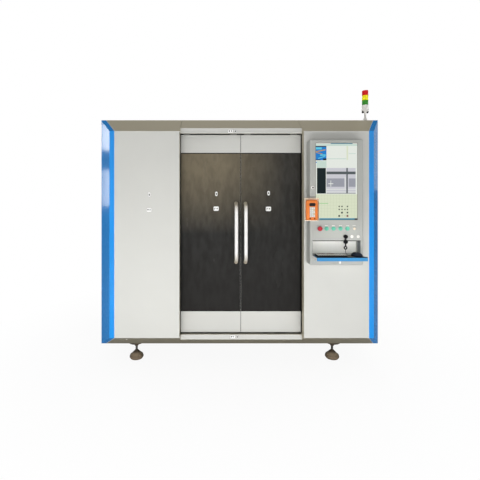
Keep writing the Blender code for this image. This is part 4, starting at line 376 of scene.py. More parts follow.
@dataclass(frozen=True)
class TintedGlass(Finish):
    """Dark filter sheet, with a painted warm reflection towards one upper corner, wiping marks and haze.

    Attributes:
        warm_reflection_colour: The colour of the painted warm reflection at the upper left of the doors.
        wiped_colour: The colour where a cloth has left a film.
    """

    warm_reflection_colour: Colour = (0.45, 0.415, 0.345)
    wiped_colour: Colour = (0.205, 0.205, 0.20)

    def work(self, bench: Bench) -> None:
        """Wire the painted warm reflection, the wiping marks and the haze."""
        bench.set(Specular_IOR_Level=0.12)
        marks = bench.noise(26.0, 8.0, (1.0, 1.0, 0.38))
        across, height = bench.along("X"), bench.along("Z")
        # painted reflection: warmer and lighter towards the top and the left of the doors
        share = bench.maths("MULTIPLY", bench.ramp(height, 1.20, 1.80), bench.ramp(across, 0.40, -0.2, 0.07))
        share = bench.maths("MULTIPLY", share, bench.ramp(marks, PATTERN_LOW, PATTERN_HIGH, 0.84, 1.16))
        # the wiping film is weaker lower down, so the glass is darker towards the bottom
        film = bench.maths(
            "MULTIPLY", bench.ramp(height, 0.7, 1.25, 0.35), bench.ramp(marks, 0.35, 0.64, 0.3, 0.9))
        bench.coat(bench.blend(share, bench.blend(film, self.colour, self.wiped_colour), self.warm_reflection_colour))
        bench.grain(bench.noise(5.0, 5.0, (1.0, 1.0, 0.35)), self.gloss(0.0, 0.12), 0.1, 0.0004, 0.35)


@dataclass(frozen=True)
class BrushedMetal(Finish):
    """Metal brushed along one axis.

    Attributes:
        stretch: How much finer the grain is along each axis.
        stain: A colour that comes through in broad patches.
    """

    stretch: Point = (1.0, 1.0, 0.02)
    stain: Colour | None = None

    def work(self, bench: Bench) -> None:
        """Wire the grain and the stain."""
        bench.set(Metallic=1.0)
        patches = bench.ramp(bench.noise(14.0, 3.0), 0.4, 0.75)
        bench.coat(bench.blend(patches, self.colour, self.stain or shade(self.colour, 0.9)))
        bench.grain(bench.noise(900.0, 3.0, self.stretch), self.gloss(0.05, 0.08), 0.2, 0.0002)


@dataclass(frozen=True)
class BowSteel(Finish):
    """Satin stainless of the bowed handles, painted near white as their sheen, with a painted brownish
    reflection at their ends.

    Attributes:
        end_reflection_colour: The colour of the painted reflection at both ends.
        middle: Height of the handle's middle.
    """

    end_reflection_colour: Colour = (0.68, 0.64, 0.56)
    middle: float = 1.210

    def work(self, bench: Bench) -> None:
        """Wire the fade to the painted reflection at the ends, and the grain."""
        # mostly diffuse, so the near-white colour stands in as painted sheen
        bench.set(Metallic=0.15)
        reach = bench.maths("ABSOLUTE", bench.maths("SUBTRACT", bench.along("Z"), self.middle))
        bench.coat(bench.blend(bench.ramp(reach, 0.18, 0.262), self.colour, self.end_reflection_colour))
        bench.grain(bench.noise(900.0, 3.0, (1.0, 1.0, 0.02)), self.gloss(0.05, 0.08), 0.15, 0.0002)


@dataclass(frozen=True)
class Moulded(Finish):
    """Moulded plastic or rubber with a fine spark texture.

    Attributes:
        texture: Cells of the texture in a metre.
        glow: How much of its own light it gives, as a lit button does.
    """

    texture: float = 1500.0
    glow: float = 0.0

    def work(self, bench: Bench) -> None:
        """Wire the texture."""
        bench.set(Emission_Color=linear(self.colour), Emission_Strength=self.glow, Specular_IOR_Level=0.3)
        bench.coat(bench.blend(bench.noise(30.0), *self.tones(0.95, 1.04)))
        bench.grain(bench.noise(self.texture), self.gloss(0.05, 0.07), 0.2, 0.0001)


@dataclass(frozen=True)
class FootCoat(Finish):
    """Cast foot, pale at the pad and darker on the stud above it.

    Attributes:
        stud_colour: The colour above the pad.
    """

    stud_colour: Colour = (0.27, 0.23, 0.19)

    def work(self, bench: Bench) -> None:
        """Wire the change from pad to stud and the cast grain."""
        bench.coat(bench.blend(bench.ramp(bench.along("Z"), 0.052, 0.066), self.colour, self.stud_colour))
        bench.grain(bench.noise(350.0, 3.0), self.gloss(0.05, 0.1), 0.4, 0.0006)


@dataclass(frozen=True)
class LensPlastic(Finish):
    """Coloured clear plastic of a signal lamp, with faint moulding rings."""

    def work(self, bench: Bench) -> None:
        """Wire the rings and a little of its own light."""
        bench.set(Coat_Weight=0.2, Coat_Roughness=0.05, Specular_IOR_Level=0.2,
                  Emission_Color=linear(self.colour), Emission_Strength=0.2)
        rings = bench.noise(40.0, 2.0, (0.2, 0.2, 3.0))
        bench.coat(bench.blend(rings, *self.tones(1.0, 0.72)))


@dataclass(frozen=True)
class LitPicture(Finish):
    """A lit area of a display, with its pixel rows."""

    def work(self, bench: Bench) -> None:
        """Wire the rows into the light."""
        bench.set(Base_Color=linear(shade(self.colour, 0.2)), Emission_Strength=0.88, Specular_IOR_Level=0.1)
        waves = bench.node("TexWave", bands_direction="Z")
        waves.inputs["Scale"].default_value = 240.0
        bench.wire(bench.place.outputs["Object"], waves.inputs["Vector"])
        rows = bench.blend(waves.outputs["Fac"], shade(self.colour, 0.94), self.colour)
        bench.wire(rows, bench.shader.inputs["Emission Color"])


LIGHT_GREY = (0.785, 0.785, 0.765)
TAUPE = (0.70, 0.67, 0.585)
COVER_PAINT = PowderCoat("cover_powder_coat", LIGHT_GREY, 0.42, TAUPE)
PANEL_PAINT = PowderCoat("panel_powder_coat", LIGHT_GREY, 0.42)
# near white: painted light for the keyboard recess's shaded back wall
RECESS_PAINTED_LIGHT = PowderCoat("pale_powder_coat", (0.95, 0.95, 0.93), 0.5)
CONSOLE_PAINT = PowderCoat("console_powder_coat", (0.665, 0.67, 0.65), 0.42)
FRAME_PAINT = PowderCoat("frame_powder_coat", (0.42, 0.44, 0.46), 0.5)
TRIM_BLUE = Enamel("trim_blue_enamel", (0.13, 0.56, 0.88), 0.26)
TRAY_BLUE = Enamel("tray_blue_enamel", (0.24, 0.52, 0.72), 0.3)
WINDOW_FILM = TintedGlass("window_filter_sheet", (0.145, 0.14, 0.135), 0.18)
FOOT_CAST = FootCoat("foot_casting", (0.53, 0.47, 0.39), 0.55)
# near white: the handles' sheen painted into their colour
HANDLE_STEEL_SHEEN = BowSteel("handle_stainless", (0.98, 0.975, 0.965), 0.3)
BRIGHT_STEEL = BrushedMetal("machined_steel", (0.74, 0.74, 0.74), 0.3, (0.05, 1.0, 1.0))
ZINC = BrushedMetal("zinc_plate", (0.62, 0.62, 0.60), 0.38, (1.0, 1.0, 1.0), (0.52, 0.53, 0.54))
DARK_STEEL = BrushedMetal("dark_zinc_plate", (0.46, 0.43, 0.39), 0.45, (1.0, 1.0, 1.0), (0.36, 0.32, 0.28))
COPPER = BrushedMetal("nozzle_copper", (0.80, 0.50, 0.32), 0.3)
BLACK_PLASTIC = Moulded("black_plastic", (0.03, 0.03, 0.033), 0.5)
GLOSS_BLACK = Moulded("gloss_black_plastic", (0.03, 0.032, 0.045), 0.24, 600.0)
BLACK_RUBBER = Moulded("black_rubber", (0.04, 0.04, 0.04), 0.65, 900.0)
PAD_RUBBER = Moulded("pad_rubber", (0.47, 0.41, 0.34), 0.6, 500.0)
WHITE_PLASTIC = Moulded("white_plastic", (0.92, 0.91, 0.89), 0.4)
CREAM_PLASTIC = Moulded("cream_plastic", (0.95, 0.90, 0.82), 0.45)
GREY_PLASTIC = Moulded("grey_plastic", (0.72, 0.73, 0.72), 0.45)
ORANGE_RUBBER = Moulded("orange_rubber", (0.88, 0.49, 0.23), 0.5, 800.0)
# black with the mouse's blue sheen painted into its colour
MOUSE_SHELL_SHEEN = Moulded("mouse_shell", (0.06, 0.10, 0.16), 0.22, 600.0)
RED_PLASTIC = Moulded("red_plastic", (0.70, 0.22, 0.26), 0.3)
GREEN_PLASTIC = Moulded("green_plastic", (0.40, 0.72, 0.62), 0.34, glow=0.04)
MAT_GREY = Moulded("mat_grey", (0.45, 0.42, 0.40), 0.6, 700.0)
TERRACOTTA = Moulded("terracotta_plastic", (0.70, 0.42, 0.34), 0.5)
YELLOW_PLASTIC = Moulded("yellow_plastic", (0.93, 0.78, 0.35), 0.45)
LABEL_FILM = Moulded("label_film", (0.93, 0.93, 0.92), 0.35, 300.0)
LABEL_INK = Moulded("label_ink", (0.12, 0.12, 0.13), 0.4, 300.0)
LAMP_TUBE = LitPicture("lamp_tube", (0.96, 0.97, 1.0))
RED_LENS = LensPlastic("red_lens_plastic", (0.86, 0.02, 0.02), 0.22)
YELLOW_LENS = LensPlastic("yellow_lens_plastic", (1.0, 0.96, 0.12), 0.22)
GREEN_LENS = LensPlastic("green_lens_plastic", (0.20, 0.56, 0.16), 0.22)
SOLIDS = {
    TRIM_BLUE: "left_trim right_trim",
    COVER_PAINT: "left_front_cover right_front_cover top_track_cover bottom_track_cover",
    PANEL_PAINT: "left_side_panel right_side_panel roof_panel rear_panel electrical_cabinet scrap_drawer "
                 "left_door right_door gantry_beam",
    FRAME_PAINT: "base_frame upper_frame chamber_left_wall chamber_right_wall",
    ZINC: "duct_collar door_guide",
    DARK_STEEL: "laser_source x_carriage",
    BRIGHT_STEEL: "door_rail left_y_rail right_y_rail slat_table cutting_head",
    WINDOW_FILM: "left_window right_window",
    HANDLE_STEEL_SHEEN: "left_handle right_handle",
    CONSOLE_PAINT: "console button_plate",
    GLOSS_BLACK: "monitor",
    CREAM_PLASTIC: "remote_holder key_switch",
    ORANGE_RUBBER: "remote",
    RED_PLASTIC: "e_stop",
    GREEN_PLASTIC: "start_button servo_button laser_button light_button",
    BLACK_PLASTIC: "lead_plug keyboard",
    WHITE_PLASTIC: "console_lock tray_latch tower_base z_slide",
    TRAY_BLUE: "tray",
    MOUSE_SHELL_SHEEN: "mouse",
    FOOT_CAST: "foot_front_left foot_front_right foot_rear_left foot_rear_right",
}


class Workpiece:
    """A mesh in the making, one finish for each stretch of the work."""

    def __init__(self, finish: Finish) -> None:
        """Start an empty mesh.

        Args:
            finish: The finish of the faces that are made next.
        """
        self.mesh = bmesh.new()
        self.finishes = [finish]
        self.last: list[bmesh.types.BMVert] = []
        self.marked = self.mesh.faces.layers.int.new("marked")

    def use(self, finish: Finish) -> "Workpiece":
        """Give the faces made from here on another finish."""
        self.mark()
        if finish in self.finishes:
            self.finishes.remove(finish)
        self.finishes.append(finish)
        return self

    def fresh(self) -> list[bmesh.types.BMFace]:
        """Give the faces made since the last mark."""
        return [face for face in self.mesh.faces if face[self.marked] == 0]

    def fresh_verts(self) -> list[bmesh.types.BMVert]:
        """Give the vertices that no marked face holds."""
        return [vert for vert in self.mesh.verts if all(face[self.marked] == 0 for face in vert.link_faces)]

    def mark(self) -> "Workpiece":
        """Note the finish of the faces made since the last mark."""
        for face in self.fresh():
            face[self.marked] = number_of(self.finishes[-1])
        return self

    def block(self, low: Point, high: Point) -> set[bmesh.types.BMEdge]:
        """Add a plain block between two corners.

        Args:
            low: The lowest corner.
            high: The highest corner.

        Returns:
            The block's edges.
        """
        low, high = Vector(low), Vector(high)
        place = Matrix.Translation((low + high) / 2) @ Matrix.Diagonal((*(high - low), 1.0))
        self.last = bmesh.ops.create_cube(self.mesh, size=1.0, matrix=place)["verts"]
        return {edge for vert in self.last for edge in vert.link_edges}

    def round_edges(self, edges: list[bmesh.types.BMEdge], width: float, segments: int) -> None:
        """Round edges to a width, in a number of segments."""
        bmesh.ops.bevel(
            self.mesh, geom=edges, offset=width, offset_type="OFFSET", segments=segments, profile=0.5,
            affect="EDGES", material=-1)

    def slab(self, low: Point, high: Point, bevel: float = 0.0, segments: int = 1) -> "Workpiece":
        """Add a block between two corners, with its edges rounded.

        Args:
            low: The lowest corner.
            high: The highest corner.
            bevel: How far the edges are rounded.
            segments: Steps of the rounding.
        """
        edges = self.block(low, high)
        if bevel > 0.0:
            self.round_edges(list(edges), bevel, segments)
        return self.mark()

    def plate(self, low: Point, high: Point, radius: float, lip: float = 0.0003) -> "Workpiece":
        """Add a plate that faces the front, with round corners.

        Args:
            low: The lowest corner.
            high: The highest corner.
            radius: The corners' radius.
            lip: How far the front edge is eased.
        """
        half = 0.5 * (high[1] - low[1])
        deep = [edge for edge in self.block(low, high) if abs((edge.verts[0].co - edge.verts[1].co).y) > half]
        self.round_edges(deep, radius, CORNER_STEPS)
        faces = self.fresh()
        for face in faces:
            face.normal_update()
        if lip > 0.0:
            rim = [edge for face in faces if face.normal.y < -0.9 for edge in face.edges]
            self.round_edges(rim, lip, 1)
        return self.mark()

    def tile(self, middle: Pair, half: Pair, depth: Pair, radius: float, lip: float = 0.0003) -> "Workpiece":
        """Add a plate by its middle (x, z), half its width and height, and its front and back y."""
        (x, z), (wide, tall), (front, back) = middle, half, depth
        return self.plate((x - wide, front, z - tall), (x + wide, back, z + tall), radius, lip)

    def turned(self, profile: list[Pair], centre: Point, axis: Axis = Axis.Z, steps: int = 32) -> "Workpiece":
        """Turn a profile of (radius, height) points; heights grow to the front on the Y axis.

        Args:
            profile: The profile, from pole to pole or closed.
            centre: Where height 0 stands.
            axis: The axis that it stands on.
            steps: Facets of the turn.
        """
        points = [self.mesh.verts.new((radius, 0.0, height)) for radius, height in profile]
        edges = [self.mesh.edges.new(pair) for pair in zip(points, points[1:])]
        bmesh.ops.spin(
            self.mesh, geom=points + edges, axis=(0.0, 0.0, 1.0), cent=(0.0, 0.0, 0.0), angle=math.tau,
            steps=steps, use_merge=True)
        bmesh.ops.remove_doubles(self.mesh, verts=self.fresh_verts(), dist=WELD)
        verts = self.fresh_verts()
        if axis.value:
            bmesh.ops.rotate(self.mesh, verts=verts, matrix=Matrix.Rotation(math.radians(90), 3, axis.value))
        bmesh.ops.translate(self.mesh, verts=verts, vec=centre)
        bmesh.ops.recalc_face_normals(self.mesh, faces=self.fresh())
        return self.mark()

    def screws(self, radius: float, height: float, places: Iterable[Point], axis: Axis, steps: int,
               out: int = 1) -> "Workpiece":
        """Add low screw heads, each with a socket.

        Args:
            radius: The heads' radius.
            height: How far they stand out.
            places: Where they stand.
            axis: The axis that they stand on.
            steps: Facets of each head.
            out: 1 where they stand out along the axis, and -1 where they stand out against it.
        """
        profile = [(0.0, -SUNK), (radius, -SUNK), (radius, height * 0.6), (radius * 0.8, height),
                   (radius * 0.45, height), (radius * 0.4, height * 0.4), (0.0, height * 0.4)]
        for place in places:
            self.turned([(radius, out * height) for radius, height in profile], place, axis, steps)
        return self

    def swept(self, path: list[Point], radius: float, sides: int) -> "Workpiece":
        """Sweep a round section along a path.

        Args:
            path: The points of the path.
            radius: The section's radius.
            sides: Facets of the section.
        """
        points = [Vector(point) for point in path]
        rings = []
        for index, point in enumerate(points):
            before, after = points[max(index - 1, 0)], points[min(index + 1, len(points) - 1)]
            ahead = ((after - point).normalized() + (point - before).normalized()).normalized()
            place = Matrix.Translation(point) @ ahead.to_track_quat("Z", "X").to_matrix().to_4x4()
            made = bmesh.ops.create_circle(self.mesh, segments=sides, radius=radius, matrix=place)["verts"]
            rings.append(list({edge for vert in made for edge in vert.link_edges}))
        for first, second in zip(rings, rings[1:]):
            bmesh.ops.bridge_loops(self.mesh, edges=first + second)
        for ends in (rings[0], rings[-1]):
            bmesh.ops.holes_fill(self.mesh, edges=ends)
        bmesh.ops.recalc_face_normals(self.mesh, faces=self.fresh())
        return self.mark()

    def ring(self, low: Point, high: Point, width: float) -> "Workpiece":
        """Add a rectangular frame that faces the front.

        Args:
            low: The lowest outer corner.
            high: The highest outer corner.
            width: How wide the frame's bars are.
        """
        stand = Matrix.Rotation(math.radians(90), 4, "X")
        size = Matrix.Diagonal(((high[0] - low[0]) / 2, (high[2] - low[2]) / 2, 1.0, 1.0))
        middle = Matrix.Translation(((low[0] + high[0]) / 2, low[1], (low[2] + high[2]) / 2))
        verts = bmesh.ops.create_grid(
            self.mesh, x_segments=1, y_segments=1, size=1.0, matrix=middle @ stand @ size)["verts"]
        face = verts[0].link_faces[0]
        rim = bmesh.ops.inset_region(
            self.mesh, faces=[face], thickness=width, use_boundary=True, use_even_offset=True)["faces"]
        bmesh.ops.delete(self.mesh, geom=[face], context="FACES_ONLY")
        moved = bmesh.ops.extrude_face_region(self.mesh, geom=rim)["geom"]
        ends = [item for item in moved if isinstance(item, bmesh.types.BMVert)]
        bmesh.ops.translate(self.mesh, verts=ends, vec=(0.0, high[1] - low[1], 0.0))
        bmesh.ops.recalc_face_normals(self.mesh, faces=self.fresh())
        return self.mark()

    def tilt(self, degrees: float) -> "Workpiece":
        """Turn the last plain block about its own middle, on the Y axis.

        Args:
            degrees: How far it is turned.
        """
        middle = sum((vert.co for vert in self.last), Vector()) / len(self.last)
        bmesh.ops.rotate(
            self.mesh, verts=self.last, cent=middle, matrix=Matrix.Rotation(math.radians(degrees), 3, "Y"))
        return self

    def trim(self, point: Point, normal: Point) -> "Workpiece":
        """Cut the last plain block off at a plane and close it.

        Args:
            point: A point on the plane.
            normal: The plane's outer side, where the block is cut away.
        """
        geometry = list({item for vert in self.last for item in (vert, *vert.link_edges, *vert.link_faces)})
        cut = bmesh.ops.bisect_plane(
            self.mesh, geom=geometry, plane_co=point, plane_no=normal, clear_outer=True)["geom_cut"]
        bmesh.ops.holes_fill(self.mesh, edges=[item for item in cut if isinstance(item, bmesh.types.BMEdge)])
        return self.mark()

    def place(self, matrix: Matrix) -> "Workpiece":
        """Move the whole mesh by a matrix."""
        bmesh.ops.transform(self.mesh, matrix=matrix, verts=self.mesh.verts)
        return self

    def mirror(self, side: int) -> "Workpiece":
        """Turn the whole mesh into its mirror image across the middle plane, for side -1."""
        if side < 0:
            bmesh.ops.scale(self.mesh, vec=(-1.0, 1.0, 1.0), verts=self.mesh.verts)
            bmesh.ops.reverse_faces(self.mesh, faces=self.mesh.faces)
        return self

    def done(self, name: str, body: str | None, slot: str, smooth: float = 35.0) -> bpy.types.Object:
        """Close the work: an object that rides on a body.

        Args:
            name: The piece's name.
            body: The body that it rides on, or None to leave it on no body.
            slot: A material slot's name; not used.
            smooth: The angle, in degrees, under which faces are shaded as one.

        Returns:
            The finished object.
        """
        keys = [number_of(finish) for finish in self.finishes]
        for face in self.mesh.faces:
            face.material_index = keys.index(face[self.marked]) if face[self.marked] in keys else 0
        data = bpy.data.meshes.new(name)
        self.mesh.to_mesh(data)
        self.mesh.free()
        data.attributes.remove(data.attributes["marked"])
        for finish in self.finishes:
            data.materials.append(finish.material())
        data.shade_smooth()
        data.set_sharp_from_angle(angle=math.radians(smooth))
        item = put(name, data)
        if body:
            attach(item, body)
        log.info("piece %s on %s: %d faces", name, body, len(data.polygons))
        return item


def number_of(finish: Finish) -> int:
    """Give a finish a number of its own, from its name, for marking faces."""
    return sum((index + 1) * ord(letter) for index, letter in enumerate(finish.name))


def repaint() -> None:
    """Give the CAD nodes their finishes."""
    for finish, names in SOLIDS.items():
        for name in names.split():
            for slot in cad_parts[name].material_slots:
                slot.link = "OBJECT"
                slot.material = finish.material()


@dataclass
class Studio:
    """Camera, lamps, floor and background."""

    camera_place: Point = (-0.232, -3.8005, 1.519)
    lens: float = 25.28
    sensor: float = 36.0
    shift: Pair = (0.0527, -0.0875)
    floor_reach: float = 30.0
    floor_colours: tuple[Colour, Colour] = ((0.97, 0.97, 0.97), (0.50, 0.50, 0.50))
    white: tuple[float, float, float, float] = (1.0, 1.0, 1.0, 1.0)

    def camera(self) -> None:
        """Set up the camera at the photograph's viewpoint."""
        data = bpy.data.cameras.new("camera")
        data.lens = self.lens
        data.sensor_width = self.sensor
        data.shift_x, data.shift_y = self.shift
        camera = put("camera", data)
        camera.location = self.camera_place
        camera.rotation_euler = (math.radians(90), 0.0, 0.0)
        bpy.context.scene.camera = camera
        bpy.context.scene.view_settings.view_transform = "Standard"

    def lamp(self, name: str, place: Point, target: Point, size: Pair, power: float,
             mirrored: bool = True, spread: float = 180.0) -> None:
        """Add a soft rectangular lamp.

        Args:
            name: The lamp's name.
            place: Where it stands.
            target: Where it points.
            size: Its width and height.
            power: Its power in watts.
            mirrored: Whether glossy faces mirror it.
            spread: How wide its beam opens, in degrees.
        """
        data = bpy.data.lights.new(name, "AREA")
        data.shape = "RECTANGLE"
        data.size, data.size_y = size
        data.energy = power
        data.spread = math.radians(spread)
        lamp = put(name, data)
        lamp.location = place
        lamp.rotation_euler = (Vector(target) - Vector(place)).to_track_quat("-Z", "Y").to_euler()
        lamp.visible_glossy = mirrored

    def world(self) -> None:
        """Light the room evenly, with a white background behind the machine."""
        world = bpy.data.worlds.new("room")
        bpy.context.scene.world = world
        bench = Bench(world)
        room, white = bench.tree.nodes["Background"], bench.node("Background")
        for item in (room, white):
            item.inputs["Color"].default_value = self.white
        depth, choice = bench.along("Y", "Generated"), bench.node("Mix")
        path = bench.node("LightPath").outputs
        bench.wire(path["Is Glossy Ray"], choice.inputs["Factor"])
        bench.wire(bench.ramp(depth, -0.5, 0.4, 0.41, 0.30), choice.inputs["A"])
        bench.wire(bench.ramp(depth, -0.3, 0.3, 0.85, 0.07), choice.inputs["B"])
        bench.wire(choice.outputs["Result"], room.inputs["Strength"])
        bench.mix_shaders(path["Is Camera Ray"], room.outputs[0], white.outputs[0],
                          bench.tree.nodes["World Output"].inputs["Surface"])

    def floor(self) -> None:
        """Lay a pale floor."""
        mesh = bmesh.new()
        bmesh.ops.create_grid(mesh, x_segments=1, y_segments=1, size=self.floor_reach)
        data = bpy.data.meshes.new("floor")
        mesh.to_mesh(data)
        mesh.free()
        paint = bpy.data.materials.new("floor_paint")
        bench = Bench(paint)
        bench.set(Roughness=0.7, Specular_IOR_Level=0.2)
        path = bench.node("LightPath").outputs
        bench.coat(bench.blend(path["Is Glossy Ray"], *self.floor_colours))
        reach = bench.node("VectorMath", operation="LENGTH")
        bench.wire(bench.place.outputs["Object"], reach.inputs[0])
        share = bench.maths(
            "MULTIPLY", bench.ramp(reach.outputs["Value"], 1.2, 2.8, 0.93), path["Is Camera Ray"])
        bench.mix_shaders(share, bench.shader.outputs[0], bench.node("Emission").outputs[0],
                          bench.tree.nodes["Material Output"].inputs["Surface"])
        data.materials.append(paint)
        put("floor", data)

    def build(self) -> None:
        """Set up the whole studio."""
        self.camera()
        self.world()
        self.floor()
        self.lamp("key_lamp", (-1.0, -5.2, 0.95), (0.0, -0.9, 0.8), (2.6, 0.8), 46.0, False)
        self.lamp("low_lamp", (0.1, -3.2, 0.25), (0.1, -0.9, 0.3), (4.5, 0.4), 43.0, False)
        self.lamp("recess_lamp", (0.80, -2.45, 1.30), (0.835, -1.0, 1.125), (0.30, 0.10), 0.15, False, 24.0)
        self.lamp("left_card", (-3.3, 1.15, 2.55), (-1.21, -0.95, 2.55), (0.16, 0.44), 1.8)
        self.lamp("left_low_card", (-3.3, 1.15, 1.69), (-1.21, -0.95, 1.69), (0.12, 0.62), 1.5)
        self.lamp("right_card", (3.2, 1.7, 2.3), (1.21, -0.95, 1.9), (0.12, 1.3), 0.6)
        self.lamp("back_lamp", (2.2, 4.8, 3.4), (0.0, 1.0, 1.0), (2.6, 2.0), 95.0)
        self.lamp("left_lamp", (-4.6, -3.0, 1.5), (0.6, -0.95, 1.5), (1.6, 1.8), 20.0, False)
        self.lamp("top_lamp", (0.0, 0.5, 5.5), (0.0, 0.5, 0.0), (3.0, 3.0), 50.0, False)
        self.lamp("side_lamp", (5.0, -0.6, 2.6), (1.2, 0.0, 1.1), (2.0, 2.0), 30.0)


def label(name: str, body: str, place: Point, size: Pair, radius: float,
          marks: tuple[tuple[float, float, float, float], ...]) -> None:
    """Stick a bare label plate with generic marks on a face that looks to the front.

    Args:
        name: The label's name.
        body: The body that it rides on.
        place: Its middle, on the face that it sticks on.
        size: Its width and height.
        radius: Its corners' radius.
        marks: Middle, width and height of each inked bar, from the label's middle.
    """
    x, y, z = place
    half_x, half_z = size[0] / 2, size[1] / 2
    outer, back = (half_x + LABEL_RIM, half_z + LABEL_RIM), y + LABEL_SEAT
    work = Workpiece(MAT_GREY).tile((x, z), outer, (y - RIM_RISE, back), radius + LABEL_RIM, 0.0)
    work.use(LABEL_FILM).tile((x, z), (half_x, half_z), (y - FILM_RISE, back), radius, 0.0)
    work.use(LABEL_INK)
    for across, up, wide, tall in marks:
        work.tile((x + across, z + up), (wide / 2, tall / 2), (y - INK_RISE, y - RIM_RISE), INK_CORNER, 0.0)
    work.done(name, body, "white_plastic")


@dataclass
class Enclosure:
    """Panels, covers, corner trims and what is fixed to them."""

    body: str = "enclosure"
    seam_x: float = 1.094
    bead_radius: float = 0.0013
    bay_half: float = 0.533
    hem_rise: float = 0.0012
    hem_back: float = 0.0005
    seal_x: float = 0.5338
    seal_width: float = 0.0020
    bolt_radius: float = 0.006
    bolt_height: float = 0.003
    bolt_x: float = -1.002
    bolt_setback: float = 0.050

    def seam_highlight_beads(self) -> None:
        """Pale beads in the partings between the blue trims and the covers, standing in as the painted
        highlight along the trims' edges.
        """
        back = self.seam_x + (NOSE_BACK_Y - FRONT_Y) * NOSE_SLOPE
        line = ((back, NOSE_BACK_Y, ROOF_Z), (self.seam_x, FRONT_Y, FRONT_TOP_Z),
                (self.seam_x, FRONT_Y, FRONT_BOTTOM_Z), (back, NOSE_BACK_Y, BODY_BOTTOM_Z))
        for side, name in SIDES:
            # painted highlight: a pale bead along each trim's edge
            work = Workpiece(WHITE_PLASTIC).swept([(side * x, y, z) for x, y, z in line], self.bead_radius, 6)
            work.done(name + "_trim_painted_highlight_bead", self.body, "white_plastic")

    def hems(self) -> None:
        """Folded hems along the track covers' strips."""
        half = self.bay_half
        for name, low, high in (("top_hem", 2.0855, 2.1015), ("bottom_hem", 0.3000, 0.3205)):
            work = Workpiece(COVER_PAINT)
            work.slab((-half, STRIP_Y - self.hem_rise, low), (half, STRIP_Y + self.hem_back, high), 0.0006)
            work.done(name, self.body, "light_paint")

    def labels(self) -> None:
        """Bare labels on the left cover and on the track covers."""
        oval = ((0.0, -0.002, 0.009, 0.017),)
        pair = ((-0.009, 0.002, 0.011, 0.010), (0.009, 0.002, 0.006, 0.013))
        wide_slot, slim_slot = ((0.0, 0.0, 0.009, 0.016),), ((0.0, 0.0, 0.008, 0.016),)
        strip = STRIP_Y - self.hem_rise
        for name, place, size, radius, marks in (
                ("left_cover_oval_label", (-0.795, FRONT_Y, 1.549), (0.022, 0.042), 0.0105, oval),
                ("left_cover_label", (-0.797, FRONT_Y, 1.416), (0.043, 0.038), 0.009, pair),
                ("top_strip_label", (-0.094, strip, 2.105), (0.046, 0.030), 0.004, pair),
                ("top_strip_lock", (-0.050, strip, 2.104), (0.018, 0.030), 0.008, wide_slot),
                ("bottom_strip_label", (-0.074, strip, 0.3000), (0.044, 0.028), 0.004, pair),
                ("bottom_strip_lock", (-0.033, strip, 0.3005), (0.015, 0.026), 0.007, slim_slot)):
            label(name, self.body, place, size, radius, marks)

    def bolt(self) -> None:
        """The bolt head on the left cover's bottom slope."""
        place = (self.bolt_x, FRONT_Y + self.bolt_setback, FRONT_BOTTOM_Z - self.bolt_setback * NOSE_SLOPE)
        work = Workpiece(WHITE_PLASTIC)
        work.screws(self.bolt_radius, self.bolt_height, [(0.0, 0.0, 0.0)], Axis.Y, 20)
        work.place(Matrix.Translation(place) @ Matrix.Rotation(math.atan(1 / NOSE_SLOPE), 4, "X"))
        work.done("cover_bolt", self.body, "bright_steel")

    def bay_seals(self) -> None:
        """Dark brush seals between the covers and the doors, and the caps at the strips' ends."""
        for side, name in SIDES:
            work = Workpiece(BLACK_RUBBER)
            work.slab(
                (self.seal_x, -0.8320, 0.3300), (self.seal_x + self.seal_width, -0.7968, 2.0820), 0.0004)
            work.use(COVER_PAINT)
            for low, high, edge, up in (
                    (2.0885, 2.1330, FRONT_TOP_Z, 1.0), (0.2765, 0.3205, FRONT_BOTTOM_Z, -1.0)):
                work.slab((0.5342, FRONT_Y + self.hem_back, low), (0.5359, STRIP_Y + self.hem_back, high))
                work.trim((0.0, FRONT_Y, edge), (0.0, -NOSE_SLOPE, up))
            work.mirror(side).done(name + "_bay_seal", self.body, "black_plastic")

    def build(self) -> None:
        """Dress the enclosure."""
        self.seam_highlight_beads()
        self.hems()
        self.labels()
        self.bolt()
        self.bay_seals()


